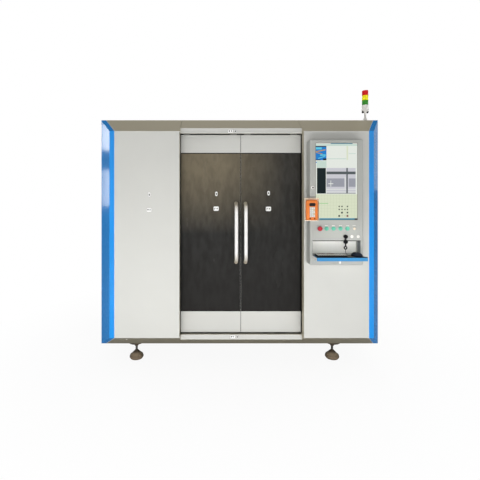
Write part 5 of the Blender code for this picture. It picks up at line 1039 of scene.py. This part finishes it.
@dataclass
class Doors:
    """The two sliding doors."""

    window_right: float = 0.533
    window_bottom: float = 0.510
    window_top: float = 1.920
    gasket: float = 0.0035
    lap: float = 0.001
    glass_lap: Pair = (0.0022, 0.0050)
    seal_z: Pair = (0.328, 2.077)
    hem_z: Pair = (2.0615, 2.0805)
    handle_x: float = 0.042
    handle_ends: Pair = (0.950, 1.470)

    def dress(self, side: int, name: str) -> None:
        """Dress one door.

        Args:
            side: -1 for the left door and 1 for the right one.
            name: left or right.
        """
        body = name + "_door_leaf"
        front, back = DOOR_Y - 0.0008, DOOR_Y + 0.0016
        left, right = 0.0045, self.window_right + self.lap
        bottom, top = self.window_bottom - self.lap, self.window_top + self.lap
        low, high = bottom + self.gasket, top - 2 * self.gasket
        work = Workpiece(BLACK_RUBBER).slab((left, front, high), (right, back, top))
        work.slab((left, front, bottom), (right, back, low))
        work.slab((right - self.gasket, front, low), (right, back, high))
        near, far = self.glass_lap
        work.use(WINDOW_FILM).slab((near, DOOR_Y - 0.0007, bottom), (far, DOOR_Y + 0.0002, top))
        work.mirror(side).done(name + "_window_gasket", body, "lead_rubber")
        low, high = self.seal_z
        work = Workpiece(BLACK_RUBBER).slab((0.0004, DOOR_Y + 0.004, low), (0.0021, DOOR_Y + 0.036, high))
        work.mirror(side).done(name + "_meeting_seal", body, "lead_rubber")
        low, high = self.hem_z
        work = Workpiece(PANEL_PAINT)
        work.slab((0.0025, DOOR_Y - 0.0010, low), (0.5405, DOOR_Y + 0.0005, high), 0.0006)
        work.mirror(side).done(name + "_door_hem", body, "light_paint")
        work = Workpiece(HANDLE_STEEL_SHEEN)
        collar = [(0.0, 0.0), (0.0166, 0.0), (0.0165, 0.003), (0.0162, 0.008), (0.0158, 0.014), (0.0, 0.014)]
        for z in self.handle_ends:
            work.turned(collar, (side * self.handle_x, DOOR_Y + 0.0014, z), Axis.Y, 28)
        work.done(name + "_handle_collars", body, "handle_steel")

    def build(self) -> None:
        """Dress both doors and stick their labels on."""
        for side, name in SIDES:
            self.dress(side, name)
        face = DOOR_Y + 0.0015
        oval = ((0.0, 0.0, 0.009, 0.016),)
        marks = ((-0.010, 0.004, 0.012, 0.004), (0.009, 0.001, 0.010, 0.010), (-0.014, -0.003, 0.004, 0.010))
        for body, x, high, low in (
                ("left_door_leaf", -0.217, 1.556, 1.424), ("right_door_leaf", 0.249, 1.562, 1.422)):
            label(body + "_oval_label", body, (x, face, high), (0.021, 0.040), 0.0100, oval)
            label(body + "_label", body, (x - 0.002, face, low), (0.046, 0.039), 0.009, marks)


SCREEN = {name: LitPicture("screen_" + name, colour) for name, colour in (
    ("white", (0.95, 0.97, 0.94)), ("cream", (0.90, 0.93, 0.82)), ("rule", (0.83, 0.87, 0.75)),
    ("mist", (0.82, 0.90, 0.86)), ("lilac", (0.84, 0.84, 0.87)), ("grey", (0.64, 0.65, 0.69)),
    ("slate", (0.36, 0.39, 0.40)), ("dark", (0.10, 0.15, 0.16)), ("teal", (0.20, 0.56, 0.66)),
    ("blue", (0.16, 0.52, 0.84)), ("cyan", (0.42, 0.84, 0.92)), ("amber", (0.80, 0.62, 0.30)),
    ("green", (0.50, 0.84, 0.48)), ("red", (0.45, 0.10, 0.12)))}

PICTURE = (
    ("white", 3, 3, 997, 997, 1), ("teal", 360, 989, 883, 997, 2), ("mist", 3, 963, 997, 986, 2),
    ("cream", 740, 780, 775, 962, 2), ("mist", 270, 790, 730, 800, 2), ("mist", 790, 860, 960, 868, 2),
    ("blue", 3, 776, 262, 962, 2), ("dark", 3, 950, 262, 962, 3), ("cyan", 3, 918, 150, 944, 3),
    ("dark", 180, 776, 262, 800, 3), ("dark", 3, 776, 120, 786, 3), ("cyan", 110, 836, 245, 852, 3),
    ("mist", 30, 680, 262, 768, 2), ("blue", 12, 742, 34, 756, 3), ("dark", 36, 343, 248, 676, 2),
    ("lilac", 262, 343, 955, 676, 2), ("slate", 262, 594, 955, 629, 3), ("grey", 262, 431, 690, 540, 3),
    ("grey", 790, 431, 955, 540, 3), ("white", 262, 395, 955, 403, 3), ("white", 262, 360, 955, 368, 3),
    ("slate", 262, 343, 955, 349, 3), ("white", 304, 466, 424, 476, 4), ("white", 358, 432, 372, 512, 4),
    ("white", 698, 405, 712, 560, 4), ("slate", 734, 343, 768, 676, 4), ("cream", 3, 24, 997, 335, 2),
    ("green", 74, 212, 302, 218, 4), ("teal", 88, 3, 980, 22, 2), ("dark", 930, 3, 997, 20, 3))


@dataclass
class Console:
    """The operator console with its display, controls, remote and sockets."""

    body: str = "console_box"
    screen_low: Pair = (0.604, 1.337)
    screen_high: Pair = (0.953, 1.975)
    glass_y: float = -1.0032
    layer: float = 0.0002
    plate_y: float = CONSOLE_Y - 0.0023
    button_z: float = 1.2655
    button_x: tuple[float, ...] = (0.694, 0.752, 0.810, 0.868)
    button_rise: float = 0.009
    stop_x: float = 0.636
    stop_rise: float = 0.026
    key_x: float = 0.923
    socket_x: Pair = (0.905, 0.957)
    socket_z: float = 1.199
    remote_x: float = 0.567
    remote_y: float = CONSOLE_Y - 0.0376
    remote_pitch: Pair = (0.014, 0.016)
    remote_keys_z: float = 1.372
    vent_low: float = 1.720
    vent_pitch: float = 0.022
    vent_height: float = 0.008

    def area(self, work: Workpiece, name: str, left: float, bottom: float, right: float, top: float,
             level: int) -> None:
        """Add a lit area to the picture, in thousandths of the screen.

        Args:
            work: The picture in the making.
            name: The area's colour.
            left: Its left edge.
            bottom: Its lower edge.
            right: Its right edge.
            top: Its upper edge.
            level: How many layers lie under it.
        """
        (x, z), (end_x, end_z) = self.screen_low, self.screen_high
        wide, tall = (end_x - x) / 1000, (end_z - z) / 1000
        work.use(SCREEN[name]).slab(
            (x + left * wide, self.glass_y - self.layer * level, z + bottom * tall),
            (x + right * wide, self.glass_y + 0.0003, z + top * tall))

    def picture(self) -> None:
        """A generic cutting program on the display."""
        areas = list(PICTURE)
        areas += [("rule", 10, 62 + 42 * row, 990, 64 + 42 * row, 3) for row in range(7)]
        areas += [("rule", 70 + 71 * column, 26, 74 + 71 * column, 333, 3) for column in range(13)]
        dots = {175: (0.8, 0.8, 0.0, 0.8), 136: (0.8, 0.7, 0.7, 0.7), 95: (0.0, 1.1, 0.0, 0.9),
                52: (1.1, 0.3, 0.3, 1.1)}
        for z, sizes in dots.items():
            for x, size in zip((564, 631, 700, 760), sizes):
                if size:
                    ink = "red" if x > 750 and z < 60 else "dark"
                    areas.append((ink, x - 18 * size, z - 10 * size, x + 18 * size, z + 10 * size, 4))
        work = Workpiece(SCREEN["white"])
        for area in areas:
            self.area(work, *area)
        for name, x, z, wide, tall, turn in (
                ("amber", 120, 900, 120, 6.5, 12), ("amber", 90, 868, 75, 4, -14),
                ("cyan", 150, 815, 90, 5, 18)):
            self.area(work, name, x - wide, z - tall, x + wide, z + tall, 4)
            work.tilt(-turn)
        work.done("screen_picture", self.body, "screen")

    def screen_gasket(self) -> None:
        """A dark gasket between the console's window and the display."""
        (left, bottom), (right, top), lap = self.screen_low, self.screen_high, 0.001
        work = Workpiece(MAT_GREY).ring((left - lap, CONSOLE_Y - 0.0006, bottom - lap),
                                        (right + lap, CONSOLE_Y + 0.0016, top + lap), 0.0030)
        work.done("screen_gasket", self.body, "black_plastic")

    def plate_details(self) -> None:
        """Bezels, screws and bare name bars of the button plate."""
        front, z = self.plate_y, self.button_z
        bezel = [(0.0128, 0.0044), (0.0168, 0.0040), (0.0168, 0.0), (0.0178, 0.0), (0.0180, 0.0030),
                 (0.0166, 0.0056), (0.0130, 0.0060), (0.0128, 0.0044)]
        flat = [(0.0150, 0.0), (0.0184, 0.0), (0.0184, 0.0014), (0.0176, 0.0020), (0.0150, 0.0020),
                (0.0150, 0.0)]
        work = Workpiece(GREEN_PLASTIC)
        for x in self.button_x:
            work.turned(bezel, (x, front, z), Axis.Y, 36)
        work.use(CONSOLE_PAINT).turned(bezel, (self.key_x, front, z), Axis.Y, 36)
        work.use(BRIGHT_STEEL).turned(flat, (self.stop_x, front, z), Axis.Y, 36)
        work.done("button_bezels", self.body, "bright_steel")
        places = product((0.5955, 0.9645, 0.781), (front,), (1.2405, 1.2895))
        work = Workpiece(BRIGHT_STEEL).screws(0.0024, 0.0012, places, Axis.Y, 16)
        work.done("plate_screws", self.body, "bright_steel")
        work = Workpiece(WHITE_PLASTIC)
        for x in (*self.button_x, self.key_x):
            work.tile((x, 1.2890), (0.013, 0.0025), (front - 0.0006, front + 0.0002), 0.001, 0.0002)
        work.done("name_bars", self.body, "white_plastic")

    def caps(self) -> None:
        """Glossy caps on the four buttons and the turning arrows' ring on the stop."""
        cap = [(0.0, -SUNK), (0.0098, -SUNK), (0.0092, 0.0004), (0.0060, 0.0011), (0.0, 0.0014)]
        for x, body in zip(self.button_x, ("start_key", "servo_key", "laser_key", "light_key")):
            work = Workpiece(GREEN_PLASTIC)
            work.turned(cap, (x, self.plate_y - self.button_rise, self.button_z), Axis.Y, 28)
            work.done(body + "_cap", body, "green_plastic")
        head = [(0.0, -0.0006), (0.0155, -0.0006), (0.0140, 0.0006), (0.0080, 0.0020), (0.0, 0.0026)]
        ring = [(0.0102, 0.0010), (0.0108, 0.0022), (0.0116, 0.0022), (0.0120, 0.0006), (0.0102, 0.0010)]
        place = (self.stop_x, self.plate_y - self.stop_rise, self.button_z)
        work = Workpiece(RED_PLASTIC).turned(head, place, Axis.Y, 32)
        work.use(RED_LENS).turned(ring, place, Axis.Y, 32)
        work.done("stop_cap", "emergency_stop", "red_plastic")

    def sockets(self) -> None:
        """Inserts of the two round sockets, with their pins."""
        insert = [(0.0, -SUNK), (0.0122, -SUNK), (0.0122, 0.0030), (0.0112, 0.0044), (0.0062, 0.0044),
                  (0.0058, 0.0020), (0.0, 0.0020)]
        pin = [(0.0, 0.0020), (0.0007, 0.0020), (0.0007, 0.0038), (0.0, 0.0040)]
        for index, x in enumerate(self.socket_x, 1):
            work = Workpiece(WHITE_PLASTIC).turned(insert, (x, CONSOLE_Y, self.socket_z), Axis.Y, 28)
            work.use(BRIGHT_STEEL)
            for turn in range(4):
                angle = math.radians(45 + 90 * turn)
                across, up = 0.003 * math.cos(angle), 0.003 * math.sin(angle)
                work.turned(pin, (x + across, CONSOLE_Y, self.socket_z + up), Axis.Y, 10)
            work.done(f"socket_insert_{index}", self.body, "white_plastic")

    def remote(self) -> None:
        """Keypad, display window and end buttons of the handheld remote."""
        front, middle = self.remote_y, self.remote_x
        seat, (across, up) = front + SUNK, self.remote_pitch
        work = Workpiece(LABEL_INK).tile((middle, 1.465), (0.026, 0.013), (front - 0.0010, seat), 0.010)
        work.use(GREY_PLASTIC).tile((middle, 1.404), (0.022, 0.042), (front - 0.0008, seat), 0.004)
        for row, column in product(range(5), range(3)):
            work.use(YELLOW_PLASTIC if column == 2 and row in (1, 3) else WHITE_PLASTIC)
            spot = (middle - across + column * across, self.remote_keys_z + row * up)
            work.tile(spot, (0.0045, 0.0045), (front - 0.0026, front - 0.0006), 0.0015)
        work.use(BLACK_PLASTIC)
        for x in (middle - 0.018, middle + 0.018):
            work.turned([(0.0, 0.0), (0.006, 0.0), (0.006, 0.0016), (0.005, 0.0024), (0.0, 0.0024)],
                        (x, front, 1.3505), Axis.Y, 20)
        work.done("remote_keypad", self.body, "orange_rubber")

    def lock(self) -> None:
        """The lock's dark core on its pale barrel."""
        low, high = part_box("console_lock")
        work = Workpiece(BLACK_PLASTIC)
        work.turned([(0.0, -SUNK), (0.0070, -SUNK), (0.0070, 0.0006), (0.0060, 0.0012), (0.0, 0.0012)],
                    ((low[0] + high[0]) / 2, low[1], (low[2] + high[2]) / 2), Axis.Y, 24)
        work.done("lock_core", "lock_barrel", "dark_steel")

    def recess(self) -> None:
        """A near-white liner on the keyboard recess's back wall as painted light, a dark strip along its top
        edge as painted shadow, and a dark end strip on its right wall as painted shade.
        """
        # painted light: a near-white sheet over the recess's shaded back wall
        work = Workpiece(RECESS_PAINTED_LIGHT).slab((0.5800, -0.9166, 1.0478), (0.9762, -0.9157, 1.1605))
        # painted shadow: a dark strip along the recess's top edge
        work.use(BLACK_RUBBER)
        work.slab((0.5795, CONSOLE_Y - 0.0006, 1.1610), (0.9775, CONSOLE_Y + SUNK, 1.1670), 0.0003)
        # painted shade: a dark strip on the recess's right wall
        work.use(FRAME_PAINT).slab((0.9766, -1.0026, 1.0475), (0.9776, -0.9460, 1.1590))
        work.done("recess_painted_light_and_shade", self.body, "light_paint")

    def back(self) -> None:
        """Vents, screws and a bare plate on the monitor's back."""
        work = Workpiece(BLACK_PLASTIC)
        for row in range(9):
            z = self.vent_low + row * self.vent_pitch
            work.slab((0.640, -0.9654, z), (0.918, -0.9632, z + self.vent_height), 0.0008)
        work.use(ZINC).plate((0.700, -0.9654, 1.420), (0.860, -0.9632, 1.600), 0.004, 0.0002)
        for x, z in product((0.712, 0.848), (1.432, 1.588)):
            work.slab((x - 0.004, -0.9640, z - 0.004), (x + 0.004, -0.9618, z + 0.004), 0.0008)
        work.done("monitor_back", self.body, "black_plastic")

    def build(self) -> None:
        """Dress the console."""
        for step in (self.recess, self.back, self.picture, self.screen_gasket, self.plate_details, self.caps,
                     self.sockets, self.remote, self.lock):
            step()


@dataclass
class Tray:
    """The folding tray with keyboard and mouse, and the mouse's lead."""

    body: str = "tray_leaf"
    top: float = 1.044
    lead_radius: float = 0.0018
    mouse: Point = (0.922, -1.0635, 1.0443)
    mouse_turn: float = math.radians(35.0)
    mouse_nose: float = 0.053
    plug_end: Point = (0.851, -1.0093, 1.0872)
    brown_keys: tuple[int, ...] = (1, 2, 3, 5, 6, 7)
    first_key: Pair = (0.6010, -1.1060)
    key_pitch: Pair = (0.0190, 0.0170)
    key_half: Pair = (0.0068, 0.0060)

    def lead(self) -> None:
        """The mouse's lead, in place of the CAD one."""
        turn = self.mouse_turn
        rest = self.top + self.lead_radius + 0.0006
        start = Vector(self.plug_end)
        nose = Vector(self.mouse) + Vector((-math.sin(turn), math.cos(turn), 0.0)) * self.mouse_nose
        nose.z = rest + self.lead_radius * 2
        knots = [
            start, start + Vector((0.0, -0.001, -0.012)), start + Vector((0.003, -0.008, -0.028)),
            Vector((start.x + 0.010, start.y - 0.018, rest + 0.003)),
            Vector((start.x + 0.021, start.y - 0.020, rest)),
            Vector((start.x + 0.030, start.y - 0.014, rest + 0.001)), nose]
        points = spline(knots, 3)
        path = [tuple(point) for point in points]
        work = Workpiece(BLACK_RUBBER).swept(path, self.lead_radius, 12)
        item = work.done("mouse_cable", None, "lead_rubber")
        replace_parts(item, "mouse_lead")
        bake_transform(item)

    def edge(self) -> None:
        """Front edge strip, mouse mat, the pale end cap and the latch's knob."""
        work = Workpiece(BLACK_RUBBER).slab((0.5790, -1.1290, 1.0438), (0.9820, -1.1225, 1.0510), 0.001, 2)
        work.done("tray_edge", self.body, "lead_rubber")
        work = Workpiece(MAT_GREY).plate((0.8400, -1.1220, 1.0432), (0.9810, -1.0120, 1.0446), 0.0, 0.0)
        work.done("tray_mat", self.body, "black_plastic")
        work = Workpiece(WHITE_PLASTIC).slab((0.5762, -1.1285, 1.0180), (0.5782, -1.0125, 1.0432), 0.0008)
        work.use(BLACK_PLASTIC).slab((0.5764, -1.0500, 1.0428), (0.5810, -1.0300, 1.0470), 0.0008)
        work.done("tray_end_cap", self.body, "white_plastic")
        work = Workpiece(WHITE_PLASTIC).turned(
            [(0.0, 0.9965), (0.0060, 0.9965), (0.0080, 0.9985), (0.0080, 1.0050), (0.0062, 1.0085),
             (0.0, 1.0085)],
            (0.765, -1.1135, 0.0), Axis.Z, 28)
        work.done("tray_latch_cap", "latch_knob", "white_plastic")

    def keys(self) -> None:
        """Bare caps on the keyboard's rows."""
        work = Workpiece(GREY_PLASTIC)
        (left, near), (across, back), (wide, deep) = self.first_key, self.key_pitch, self.key_half
        for row, column in product(range(5), range(12)):
            x, y = left + column * across, near + row * back
            work.use(TERRACOTTA if row == 4 and column in self.brown_keys else WHITE_PLASTIC)
            work.slab((x - wide, y - deep, 1.0612), (x + wide, y + deep, 1.0626), 0.0005)
        work.done("keyboard_caps", self.body, "black_plastic")

    def wheel(self) -> None:
        """The mouse's wheel."""
        work = Workpiece(GREY_PLASTIC).turned(
            [(0.0, -0.003), (0.007, -0.003), (0.0085, -0.001), (0.0085, 0.001), (0.007, 0.003), (0.0, 0.003)],
            (0.0, 0.025, 0.0265), Axis.X, 24)
        work.place(Matrix.Translation(self.mouse) @ Matrix.Rotation(self.mouse_turn, 4, "Z"))
        work.done("mouse_wheel", self.body, "black_plastic")

    def build(self) -> None:
        """Dress the tray."""
        self.lead()
        self.edge()
        self.keys()
        self.wheel()


def spline(knots: list[Vector], steps: int) -> list[Vector]:
    """Give points of a smooth curve through knots.

    Args:
        knots: The points that it goes through.
        steps: Points between each two knots.

    Returns:
        The curve's points.
    """
    padded = [2 * knots[0] - knots[1]] + knots + [2 * knots[-1] - knots[-2]]
    points = []
    for index, step in product(range(1, len(padded) - 2), range(steps)):
        before, start, end, after = padded[index - 1:index + 3]
        t = step / steps
        points.append(0.5 * (
            2 * start + (end - before) * t + (2 * before - 5 * start + 4 * end - after) * t ** 2
            + (3 * start - before - 3 * end + after) * t ** 3))
    return points + [knots[-1]]


@dataclass
class SignalTower:
    """The three-colour signal tower on the roof."""

    body: str = "enclosure"
    x: float = 1.196
    y: float = -0.6005
    top: float = 2.5367
    lens_height: float = 0.046
    radius: float = 0.029
    flutes: int = 72
    flute_depth: float = 0.0008
    clamp_drop: float = 0.202

    def lens(self, name: str, finish: Finish, z: float) -> None:
        """A fluted lens in place of the plain one.

        Args:
            name: The CAD node that it stands for.
            finish: Its finish.
            z: Its foot.
        """
        height, waist = self.lens_height - 0.0003, self.radius - 0.0016
        work = Workpiece(finish).turned(
            [(0.0, 0.0), (self.radius, 0.0), (self.radius, 0.004), (waist, 0.0055), (waist, height - 0.003),
             (self.radius - 0.003, height), (0.0, height)], (self.x, self.y, z), Axis.Z, self.flutes)
        for vert in work.mesh.verts:
            offset = vert.co - Vector((self.x, self.y, vert.co.z))
            step = round(math.atan2(offset.y, offset.x) / math.tau * self.flutes)
            if z + 0.005 < vert.co.z < z + height - 0.002 and step % 2:
                vert.co -= offset.normalized() * self.flute_depth
        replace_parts(work.done(name + "_fluted", self.body, name, 25.0), name)

    def build(self) -> None:
        """Dress the tower: three lenses and the clamp with its two knobs."""
        for place, (name, finish) in enumerate(
                (("red_lens", RED_LENS), ("yellow_lens", YELLOW_LENS), ("green_lens", GREEN_LENS)), 1):
            self.lens(name, finish, self.top - place * self.lens_height)
        z = self.top - self.clamp_drop
        work = Workpiece(BLACK_RUBBER).turned(
            [(0.0092, 0.0), (0.0150, 0.0), (0.0165, 0.0015), (0.0165, 0.0100), (0.0092, 0.0100),
             (0.0092, 0.0)],
            (self.x, self.y, z), Axis.Z, 32)
        knob = [(0.0, 0.0140), (0.0050, 0.0140), (0.0050, 0.0155), (0.0115, 0.0165), (0.0115, 0.0265),
                (0.0100, 0.0285), (0.0, 0.0285)]
        for side, _ in SIDES:
            work.turned([(radius, side * height) for radius, height in knob], (self.x, self.y, z + 0.0005),
                        Axis.X, 20)
        work.done("tower_clamp", self.body, "black_plastic")


@dataclass
class Foot:
    """One levelling foot."""

    name: str
    x: float
    y: float
    turns: int = 12
    thread_low: float = 0.083
    pitch: float = 0.0028

    def build(self) -> None:
        """Dress the foot: threaded stud and rubber sole."""
        thread = [(0.0092, 0.082)]
        for index in range(self.turns):
            z = self.thread_low + index * self.pitch
            thread += [(0.0106, z), (0.0096, z + self.pitch / 2)]
        thread += [(0.0092, 0.118), (0.0092, 0.082)]
        sole = [(0.0552, 0.0002), (0.0648, 0.0135), (0.0648, 0.020), (0.0600, 0.0345), (0.0560, 0.0300),
                (0.0552, 0.0002)]
        place = (self.x, self.y, 0.0)
        work = Workpiece(ZINC).turned(thread, place, Axis.Z, 20)
        work.done(self.name + "_thread", "enclosure", "bright_steel")
        work = Workpiece(PAD_RUBBER).turned(sole, place, Axis.Z, 40)
        work.done(self.name + "_sole", "enclosure", "dark_steel")


@dataclass
class Outside:
    """Sides, roof and rear."""

    body: str = "enclosure"
    louvre_x: float = 1.2745
    louvre_y: float = 0.192
    louvre_turn: float = 40.0
    louvre_low: float = 0.48
    louvre_pitch: float = 0.05
    louvre_half: Point = (0.009, 0.186, 0.0006)
    screw_radius: float = 0.0055
    screw_height: float = 0.003
    hinge_x: float = 1.262
    hinge_half: float = 0.035
    latch_x: float = 0.745
    gland_x: float = 0.935
    gland_pitch: float = 0.050
    seam_x: Point = (-0.855, 0.0, 0.855)
    joint_x: Point = (-0.700, 0.0, 0.700)
    duct: Pair = (-0.500, 1.850)
    duct_bolts: float = 0.117

    def louvres(self) -> None:
        """Slanting blades behind the slots of both sides."""
        for side, name in SIDES:
            work = Workpiece(PANEL_PAINT)
            half = Vector(self.louvre_half)
            for row in range(6):
                z = self.louvre_low + self.louvre_pitch * row
                middle = Vector((side * self.louvre_x, self.louvre_y, z))
                work.slab(tuple(middle - half), tuple(middle + half)).tilt(side * self.louvre_turn)
            work.done(name + "_louvre_blades", self.body, "light_paint")

    def roof(self) -> None:
        """Standing seams, screws and lifting-eye plugs."""
        work = Workpiece(PANEL_PAINT)
        for x in self.seam_x:
            work.slab((x - 0.014, -0.6400, ROOF_Z - SUNK), (x + 0.014, 1.0300, ROOF_Z + 0.0026), 0.0008)
        rows = [-0.58 + step * 0.195 for step in range(9)]
        work.use(BRIGHT_STEEL)
        places = product(self.seam_x, rows, (ROOF_Z + 0.0026,))
        work.screws(self.screw_radius, self.screw_height, places, Axis.Z, 12)
        work.done("roof_seams", self.body, "light_paint")
        work = Workpiece(BLACK_PLASTIC)
        for x, y in product((-1.15, 1.15), (-0.45, 0.92)):
            work.turned([(0.0, -SUNK), (0.022, -SUNK), (0.022, 0.003), (0.019, 0.006), (0.0, 0.007)],
                        (x, y, ROOF_Z), Axis.Z, 24)
        work.done("lifting_eye_plugs", self.body, "black_plastic")

    def joints(self) -> None:
        """Joint strips of the rear panel with their screws."""
        low = REAR_Y - SUNK
        work = Workpiece(PANEL_PAINT)
        for x in self.joint_x:
            work.slab((x - 0.016, low, 0.480), (x + 0.016, REAR_Y + 0.0020, 2.215), 0.0008)
        work.slab((-1.270, low, 2.195), (1.270, REAR_Y + 0.0022, 2.225), 0.0008)
        rows = [0.56 + step * 0.19 for step in range(9)]
        work.use(BRIGHT_STEEL)
        places = product(self.joint_x, (REAR_Y + 0.0020,), rows)
        work.screws(self.screw_radius, self.screw_height, places, Axis.Y, 12, -1)
        work.done("rear_joint_strips", self.body, "light_paint")

    def fittings(self) -> None:
        """Hinges, latches and cable glands of the rear."""
        work, half = Workpiece(ZINC), self.hinge_half
        for side, z in product((-1, 1), (0.90, 1.45, 2.00)):
            work.turned([(0.0, z - half), (0.008, z - half), (0.008, z - 0.001), (0.0074, z),
                         (0.008, z + 0.001), (0.008, z + half), (0.0, z + half)],
                        (side * self.hinge_x, REAR_Y + 0.0070, 0.0), Axis.Z, 16)
        work.use(BLACK_PLASTIC)
        for side, z in product((-1, 1), (1.00, 1.85)):
            x = side * self.latch_x
            work.tile((x, z), (0.016, 0.030), (REAR_Y - SUNK, REAR_Y + 0.0060), 0.006, 0.0)
            work.turned([(0.0, 0.0), (0.010, 0.0), (0.010, -0.006), (0.0085, -0.008), (0.0, -0.008)],
                        (x, REAR_Y + 0.0058, z), Axis.Y, 20)
        work.done("rear_door_fittings", self.body, "dark_steel")
        work = Workpiece(ZINC)
        work.plate((0.900, REAR_Y - SUNK, 0.860), (1.120, REAR_Y + 0.0040, 0.980), 0.006, 0.0)
        work.use(BLACK_PLASTIC)
        for index, radius in enumerate((0.018, 0.018, 0.014, 0.011)):
            work.turned(
                [(0.0, 0.0), (radius, 0.0), (radius, -0.010), (radius * 0.86, -0.011),
                 (radius * 0.86, -0.020), (radius * 0.6, -0.026), (radius * 0.45, -0.026),
                 (radius * 0.4, -0.018), (0.0, -0.018)],
                (self.gland_x + index * self.gland_pitch, REAR_Y + 0.0038, 0.920), Axis.Y, 24)
        work.done("cable_entry", self.body, "black_plastic")

    def duct_fittings(self) -> None:
        """Bolts and clamp of the duct's collar."""
        x, z = self.duct
        work = Workpiece(BRIGHT_STEEL)
        for step in range(8):
            angle = math.tau * (step + 0.5) / 8
            across, up = self.duct_bolts * math.cos(angle), self.duct_bolts * math.sin(angle)
            work.turned([(0.0, 0.0), (0.006, 0.0), (0.006, -0.004), (0.0045, -0.0055), (0.0, -0.0055)],
                        (x + across, REAR_Y + 0.0030, z + up), Axis.Y, 12)
        clamp = [(0.1002, -0.056), (0.1022, -0.056), (0.1022, -0.068), (0.1002, -0.068), (0.1002, -0.056)]
        work.turned(clamp, (x, REAR_Y, z), Axis.Y, 64)
        work.done("duct_bolts", self.body, "bright_steel")

    def build(self) -> None:
        """Dress the outside."""
        self.louvres()
        self.roof()
        self.joints()
        self.fittings()
        self.duct_fittings()


@dataclass
class Motion:
    """Gantry, carriage and cutting head, and the lamps above them."""

    head: Pair = (0.0, 0.6169)
    slide_y: float = 0.6492
    carriage_y: float = 0.6795
    lamp_x: float = 0.31

    def head_details(self) -> None:
        """Copper nozzle, insulator, grip ring and lens drawer."""
        x, y = self.head
        place = (x, y, 0.0)
        nozzle = [(0.0042, 0.9756), (0.0084, 0.9760), (0.0124, 0.9830), (0.0168, 0.9900), (0.0168, 0.9960),
                  (0.0150, 0.9960), (0.0042, 0.9756)]
        insulator = [(0.0160, 0.9962), (0.0192, 0.9962), (0.0192, 1.0050), (0.0160, 1.0050), (0.0160, 0.9962)]
        grip = [(0.0318, 1.1800)]
        for step in range(6):
            z = 1.1810 + step * 0.004
            grip += [(0.0340, z), (0.0330, z + 0.002)]
        grip += [(0.0318, 1.2060), (0.0318, 1.1800)]
        work = Workpiece(COPPER).turned(nozzle, place, Axis.Z, 36)
        work.use(WHITE_PLASTIC).turned(insulator, place, Axis.Z, 36)
        work.use(BLACK_PLASTIC).turned(grip, place, Axis.Z, 40)
        work.tile((x, 1.130), (0.020, 0.015), (y - 0.0400, y - 0.0300), 0.003)
        places = [(x + side * 0.015, y - 0.0400, 1.130) for side in (-1, 1)]
        work.use(BRIGHT_STEEL).screws(0.003, 0.0015, places, Axis.Y, 14)
        work.done("head_fittings", "head", "bright_steel")

    def slide_details(self) -> None:
        """Screws and a cover strip on the rising slide and the carriage."""
        places = product((-0.035, 0.035), (self.slide_y,), (1.300, 1.375, 1.445))
        work = Workpiece(BRIGHT_STEEL).screws(0.0035, 0.002, places, Axis.Y, 14)
        work.use(BLACK_PLASTIC).slab((-0.020, 0.6474, 1.290), (0.020, 0.6494, 1.450), 0.0006)
        work.done("slide_fittings", "head", "bright_steel")
        places = product((-0.095, -0.070, 0.070, 0.095), (self.carriage_y,), (0.995, 1.105))
        work = Workpiece(BRIGHT_STEEL).screws(0.0045, 0.003, places, Axis.Y, 14)
        work.done("carriage_screws", "carriage", "bright_steel")

    def lamps(self) -> None:
        """Lamp bars under the upper frame."""
        for side, name in SIDES:
            x = side * self.lamp_x
            work = Workpiece(ZINC).slab((x - 0.24, -0.6100, 2.2000), (x + 0.24, -0.5700, 2.2150), 0.002, 2)
            work.use(LAMP_TUBE).slab((x - 0.23, -0.6060, 2.1960), (x + 0.23, -0.5740, 2.2005), 0.0015, 2)
            work.done(name + "_chamber_lamp", "enclosure", "white_plastic")

    def build(self) -> None:
        """Dress the moving parts."""
        self.head_details()
        self.slide_details()
        self.lamps()


def main() -> None:
    """Build the whole scene around the frame."""
    repaint()
    feet = [Foot(f"foot_{row}_{side}", x, y) for row, y in (("front", -0.5905), ("rear", 0.8945))
            for side, x in (("left", -0.975), ("right", 0.885))]
    for part in (
            Studio(), Enclosure(), Doors(), Console(), Tray(), SignalTower(), *feet, Outside(), Motion()):
        part.build()


if __name__ == "__main__":
    main()
